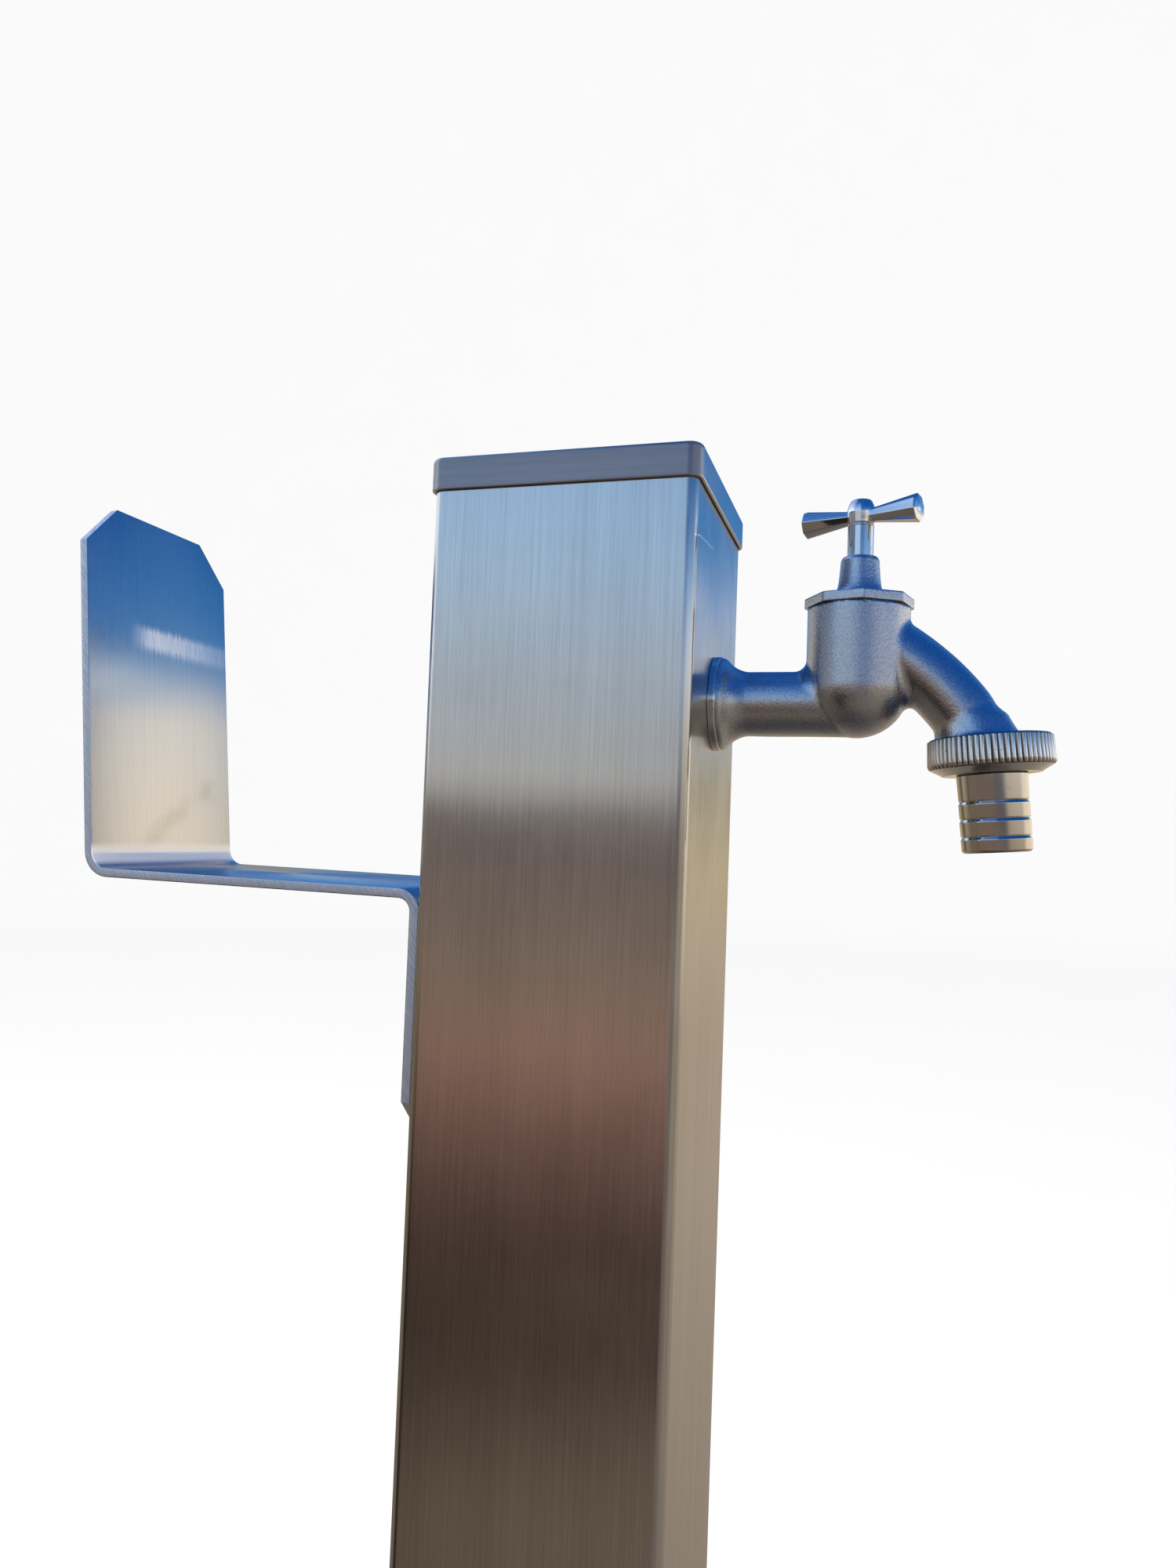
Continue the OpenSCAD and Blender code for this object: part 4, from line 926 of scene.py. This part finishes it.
# What the metal mirrors: for each heading, in degrees from the front and positive to the right, where it
# fades in, and the colour seen there from each height in degrees.
LOW = [(-85, 0.09, 0.08, 0.075), (-50, 0.24, 0.20, 0.17)]
BEHIND = [*LOW, (-17, 0.55, 0.44, 0.34), (-6, 0.59, 0.47, 0.34), (-2, 0.60, 0.48, 0.28),
    (2.5, 0.30, 0.27, 0.18), (7, 0.30, 0.42, 0.56), (12, 0.14, 0.36, 0.76), (15, 0.04, 0.25, 0.64),
    (22, 0.02, 0.17, 0.56), (32, 0.012, 0.11, 0.46)]
RIGHT_BACK = [*LOW, (-10, 0.55, 0.46, 0.34), (3, 1.28, 1.12, 0.88), (10.5, 1.30, 1.18, 1.02),
    (12.6, 1.06, 1.04, 1.02), (13.6, 0.66, 0.76, 0.88), (14.4, 0.44, 0.62, 0.86)]
FRONT_HIGH = [(-7, 0.29, 0.21, 0.16), (0, 0.21, 0.17, 0.16), (1.5, 0.20, 0.16, 0.15), (2.1, 0.74, 0.73, 0.69),
    (3.2, 0.74, 0.73, 0.70), (4.2, 0.59, 0.62, 0.64), (9, 0.57, 0.67, 0.78), (15, 0.54, 0.78, 1.08),
    (28, 0.34, 0.60, 1.05), (47, 0.12, 0.32, 0.80), (66, 0.02, 0.12, 0.46)]
HORIZON = [
    (None, None, BEHIND),
    (-150, -130, [*LOW, (-10, 0.20, 0.17, 0.10), (8, 0.22, 0.18, 0.14), (13, 0.28, 0.25, 0.26),
        (15, 1.35, 1.40, 1.48), (24, 1.0, 1.15, 1.4), (47, 0.45, 0.60, 1.05), (70, 0.06, 0.24, 0.62),
        (90, 0.02, 0.12, 0.46)]),
    (-84, -76, [*LOW, (-8, 0.22, 0.18, 0.11), (1, 0.32, 0.28, 0.22), (4, 1.15, 1.22, 1.30),
        (9, 1.55, 1.65, 1.75), (16, 1.25, 1.38, 1.55), (25, 0.8, 1.0, 1.35), (47, 0.35, 0.55, 1.0),
        (70, 0.06, 0.24, 0.62), (90, 0.02, 0.12, 0.46)]),
    (-64, -58, [(-85, 0.06, 0.05, 0.045), (-55, 0.14, 0.11, 0.09), (-44, 0.03, 0.022, 0.018),
        (-20, 0.02, 0.015, 0.012), (-11, 0.16, 0.10, 0.08), *FRONT_HIGH]),
    (-33, -27, [(-85, 0.06, 0.05, 0.045), (-50, 0.18, 0.15, 0.12), (-31, 0.20, 0.145, 0.105),
        (-26, 0.08, 0.055, 0.04), (-20, 0.10, 0.06, 0.045), (-15, 0.26, 0.14, 0.11), (-11, 0.43, 0.25, 0.19),
        *FRONT_HIGH]),
    (-10, 6, [*LOW, (-18, 0.22, 0.18, 0.16), (-6, 0.28, 0.24, 0.22), (0, 0.18, 0.16, 0.16),
        (2, 0.17, 0.16, 0.17), (4, 0.36, 0.38, 0.46), (9, 0.50, 0.62, 0.82), (12, 0.30, 0.48, 0.80),
        (17, 0.06, 0.19, 0.50), (47, 0.02, 0.12, 0.46)]),
    (24, 46, [*LOW, (-10, 0.40, 0.33, 0.25), (0, 0.48, 0.40, 0.30), (5, 0.80, 0.72, 0.60),
        (8, 0.95, 0.96, 1.0), (11, 0.80, 0.96, 1.2), (14, 0.30, 0.56, 1.0), (18, 0.06, 0.20, 0.52),
        (40, 0.012, 0.11, 0.46)]),
    (90, 112, [*RIGHT_BACK, (15.2, 1.15, 1.2, 1.3), (16.4, 1.05, 1.12, 1.25), (17.4, 0.16, 0.40, 0.78),
        (20, 0.06, 0.25, 0.66), (32, 0.012, 0.12, 0.48)]),
    (135, 138, [*RIGHT_BACK, (16.6, 0.18, 0.42, 0.78), (20, 0.10, 0.32, 0.74), (32, 0.05, 0.20, 0.58)]),
    (157, 166, BEHIND),
]


class STANDPIPE_OT_stage(Piece, bpy.types.Operator):
    """Lay the pale floor, the soft light and the camera"""
    bl_idname = "standpipe.stage"
    bl_label = "Stage"

    def make(self, colours, sizes, stage):
        pale = finish("pale_floor", lambda b: {
            "Base Color": b.mix(b.noise(0.002), stage.pale, tone(stage.pale, 0.985))},
            Roughness=0.9, Specular_IOR_Level=0.1)
        reach, bend, wall = 9000.0, 3000.0, 16000.0
        curve = [(reach + bend * math.sin(t), bend * (1 - math.cos(t))) for t in np.linspace(0, TURN / 4, 16)]
        for name, outline in (("floor", [(0.0, 0), (1.0, 0), (reach / 3, 0), (reach, 0)]),
                              ("backdrop", [*curve, (reach + bend, wall)])):
            ground = placed(name, bpy.data.meshes.new(name))
            points, faces = lathe(outline, 96)
            ground.data.from_pydata([tuple(p) for p in points], [], [tuple(f) for f in faces])
            ground.data.transform(place_at(0, 0, -0.0002))
            ground.data.materials.append(pale)
            ground.data.shade_smooth()
            ground.visible_glossy = False
        ground.visible_diffuse = ground.visible_transmission = ground.visible_shadow = False
        self.light(stage)
        self.camera(stage)

    def light(self, stage):
        """Even light, with a soft sky above and a warm ground below in what the metal mirrors."""
        world = bpy.data.worlds.new("soft_light")
        world.use_nodes = True
        bpy.context.scene.world = world
        b = Bench(world.node_tree)
        x, y, z = b.split(b.node("ShaderNodeTexCoord").out("Generated"))
        rise = z * 0.5 + 0.5
        heading = b.node("ShaderNodeMath", {"operation": "ARCTAN2"}, [x, 0.0 - y]) * (360 / TURN)
        sky = None
        for start, end, bands in HORIZON:
            stops = [((math.sin(math.radians(height)) + 1) / 2, colour) for height, *colour in bands]
            ramp = b.node("ShaderNodeValToRGB", {"stops": stops}, {"Fac": rise})
            sky = ramp if sky is None else b.mix(heading.step(start, end), sky, ramp)
        seen = b.mix(b.node("ShaderNodeLightPath").out("Is Glossy Ray"), (stage.room,) * 3, sky)
        glow = b.node("ShaderNodeBackground", {}, {"Color": seen, "Strength": 1.0})
        b.node("ShaderNodeOutputWorld", {}, {"Surface": glow})
        world.cycles.sampling_method = "NONE"
        lamp = bpy.data.lights.new("softbox", "AREA")
        lamp.shape, lamp.size, lamp.size_y, lamp.energy = "RECTANGLE", 1.6, 1.6, stage.softbox
        key = placed("softbox", lamp)
        key.location = (-1.9, -2.2, 2.3)
        key.rotation_euler = (Vector((0, 0, 0.75)) - key.location).to_track_quat("-Z", "Y").to_euler()
        key.visible_camera = key.visible_glossy = False

    def camera(self, stage):
        """The camera at the viewing angle of the photograph."""
        heading, pitch, roll = stage.camera_turn
        data = bpy.data.cameras.new("camera")
        data.lens, data.sensor_width, data.sensor_fit = stage.focal, 36, "AUTO"
        data.clip_start = 0.01
        scene = bpy.context.scene
        scene.camera = placed("camera", data)
        scene.camera.matrix_world = Matrix.Translation(stage.camera_place) @ Matrix.Rotation(
            -heading, 4, "Z") @ Matrix.Rotation(TURN / 4 + pitch, 4, "X") @ Matrix.Rotation(roll, 4, "Z")
        scene.view_settings.view_transform = "Standard"


class STANDPIPE_OT_post(Piece, bpy.types.Operator):
    """Finish the post and its base plate, and lay the weld between them"""
    bl_idname = "standpipe.post"
    bl_label = "Post and base"

    def make(self, colours, sizes, stage):
        dress("post_tube", brushed("post_brushing", 2, colours.steel, rough=0.175, scratches=POST_SCRATCHES))
        dress("base_plate", brushed("base_brushing", 0, colours.steel, 0.8, 0.25, 0.42, dust=0.5))
        dress("cap_clips", plain_metal("clip_steel", (0.55, 0.55, 0.55), 0.3))
        build("weld_bead", weld_bead(), AT_GROUND, [weld_finish("weld_ripple", (0.5, 0.49, 0.48))],
              "stand", ["base_weld"], 60)


class STANDPIPE_OT_cap(Piece, bpy.types.Operator):
    """Press the cap out of sheet, with round corners and a round top edge"""
    bl_idname = "standpipe.cap"
    bl_label = "Cap"

    def make(self, colours, sizes, stage):
        steel = brushed("cap_brushing", 0, tone(colours.steel, 0.86), 1.0, 0.25, 0.42, ends=0.22)
        build("pressed_cap", pressed_cap(sizes.sheet_edge / MM), AT_GROUND, [steel],
              "stand", ["post_cap"])


class STANDPIPE_OT_bracket(Piece, bpy.types.Operator):
    """Bend the hose bracket out of plate, and fit its screws and washers"""
    bl_idname = "standpipe.bracket"
    bl_label = "Hose bracket"

    def make(self, colours, sizes, stage):
        shape, unrolled = bent_plate(sizes.sheet_edge / MM)
        face = plate_face("bracket_brushing", colours.steel)
        cut = sheared_edge("bracket_cut_edge", colours.steel)
        build("bent_bracket", shape, place_at(-FACE_X * MM, 0, ARM_Z * MM), [face, cut],
              "stand", ["hose_bracket"], traits={"unrolled": unrolled})
        zinc = plain_metal("zinc_plate", (0.62, 0.62, 0.62), 0.28)
        for n, drop in enumerate(SCREW_DROPS):
            place = place_at(-(FACE_X + PLATE_T) * MM, 0, (ARM_Z - drop) * MM, (-1, 0, 0))
            for name, shape, node in (("hexagon_screw", hexagon_screw(), "bracket_screws"),
                                      ("flat_washer", flat_washer(), "bracket_washers")):
                build(f"{name}_{n + 1}", shape, place, [zinc], "stand", [node][n:])
        dress("bracket_rivet_nuts", zinc)


class STANDPIPE_OT_casting(Piece, bpy.types.Operator):
    """Cast the tap's body in one piece with its fillets, bores and outlet thread"""
    bl_idname = "standpipe.casting"
    bl_label = "Tap casting"

    def make(self, colours, sizes, stage):
        plate = cast_plate("cast_body_plate", colours.casting)
        fillet = sizes.fillet / MM
        body = skin(lambda p: casting(p, fillet), (-1.5, -15.6, -18.0), (95.5, 15.6, 29.2), sizes.grid / MM)
        shank = moved(thread(SHANK_R, 0.6, -SHANK_LEN, 2.0, 64, 6), ON_ITS_SIDE)
        collar = moved(thread(THREAD_R, 0.9, -THREAD_LEN, -0.7), OUTLET_IN_TAP)
        build("tap_casting", joined(body, shank, collar), AT_TAP, [plate],
              "stand", ["tap_body"], 60)


class STANDPIPE_OT_headwork(Piece, bpy.types.Operator):
    """Make the bonnet with its octagon and neck, its gasket and the polished ring on the post"""
    bl_idname = "standpipe.headwork"
    bl_label = "Bonnet and ring"

    def make(self, colours, sizes, stage):
        plate = cast_plate("cast_bonnet_plate", colours.casting, 1.15)
        build("cast_bonnet", joined(octagon(), neck()), AT_VALVE @ Matrix.Rotation(BONNET_TURN, 4, "Z"),
              [plate], "stand", ["bonnet"])
        dress("bonnet_gasket", soft_part("black_rubber", RUBBER, 0.6))
        ring = soften([(10.5, 0), (14.6, 0), (14.6, 2.3), (10.5, 2.3), (10.5, 0)], 0.55)
        build("wall_ring", lathe(ring, 128), AT_TAP @ ON_ITS_SIDE, [chrome("polished_ring", colours.polish)],
              "stand", ["rosette"])


class STANDPIPE_OT_handle(Piece, bpy.types.Operator):
    """Make the T-handle, and finish the spindle that it turns"""
    bl_idname = "standpipe.handle"
    bl_label = "T-handle"

    def make(self, colours, sizes, stage):
        shine = chrome("polished_handle", colours.polish, 0.055)
        build("faceted_handle", t_handle(), AT_VALVE @ Matrix.Rotation(HANDLE_TURN, 4, "Z"), [shine],
              "handle", ["t_handle"], 35)
        for node in ("spindle", "handle_screw"):
            dress(node, chrome("turned_stem", colours.polish, 0.10))


class STANDPIPE_OT_outlet(Piece, bpy.types.Operator):
    """Make the knurled nut and the barbed hose nozzle that it holds"""
    bl_idname = "standpipe.outlet"
    bl_label = "Nut and nozzle"

    def make(self, colours, sizes, stage):
        shape, high = knurled_nut(sizes.ridges)
        # The nut's finish paints shade into its grooves.
        shine = chrome("polished_nut", tone(colours.polish, 1.04), 0.07, groove_shade=0.7)
        build("knurled_nut", shape, AT_OUTLET, [shine],
              "nut", ["union_nut"], 50, {"groove": high})
        worn = chrome("polished_nozzle", (0.56, 0.53, 0.49), 0.10)
        build("barbed_nozzle", barbed_nozzle(), AT_OUTLET, [worn],
              "nozzle", ["hose_nozzle"])


class STANDPIPE_OT_inside(Piece, bpy.types.Operator):
    """Finish the parts inside the tap and the post"""
    bl_idname = "standpipe.inside"
    bl_label = "Inner parts"

    def make(self, colours, sizes, stage):
        brass = plain_metal("turned_brass", colours.brass, 0.25)
        rubber = soft_part("black_rubber", RUBBER, 0.6)
        for node in ("supply_coupling", "lower_pipe_nut", "pipe_olives", "elbow_pipe_nut", "inlet_elbow",
                     "backnut", "valve_jumper", "washer_nut"):
            dress(node, brass)
        for node in ("supply_grommet", "spindle_o_rings", "valve_washer", "outlet_gasket"):
            dress(node, rubber)
        dress("riser_pipe", soft_part("grey_pipe", (0.09, 0.10, 0.11), 0.4))
        dress("backnut_washer", soft_part("pressed_fibre", (0.28, 0.07, 0.04), 0.7, 0.4))


OPERATORS = (
    STANDPIPE_OT_stage, STANDPIPE_OT_post, STANDPIPE_OT_cap, STANDPIPE_OT_bracket, STANDPIPE_OT_casting,
    STANDPIPE_OT_headwork, STANDPIPE_OT_handle, STANDPIPE_OT_outlet, STANDPIPE_OT_inside)


class STANDPIPE_PT_pieces(bpy.types.Panel):
    """Lists the standpipe's pieces"""
    bl_idname = "STANDPIPE_PT_pieces"
    bl_label = "Garden standpipe"
    bl_space_type = "VIEW_3D"
    bl_region_type = "UI"
    bl_category = "Standpipe"

    def draw(self, context):
        for group in GROUPS:
            box = self.layout.box()
            for name in GROUPS[group].__annotations__:
                box.prop(getattr(context.scene, group), name)
        for operator in OPERATORS:
            self.layout.operator(operator.bl_idname)


GROUPS = {"standpipe_finish": StandpipeFinish, "standpipe_sizes": StandpipeSizes,
          "standpipe_stage": StandpipeStage}


def register():
    for one in (*GROUPS.values(), *OPERATORS, STANDPIPE_PT_pieces):
        bpy.utils.register_class(one)
    for name, group in GROUPS.items():
        setattr(bpy.types.Scene, name, bpy.props.PointerProperty(type=group))


def unregister():
    for name in GROUPS:
        delattr(bpy.types.Scene, name)
    for one in (STANDPIPE_PT_pieces, *reversed(OPERATORS), *reversed(GROUPS.values())):
        bpy.utils.unregister_class(one)


def main():
    register()
    for operator in OPERATORS:
        getattr(bpy.ops.standpipe, operator.bl_idname.split(".")[1])()


if __name__ == "__main__":
    main()
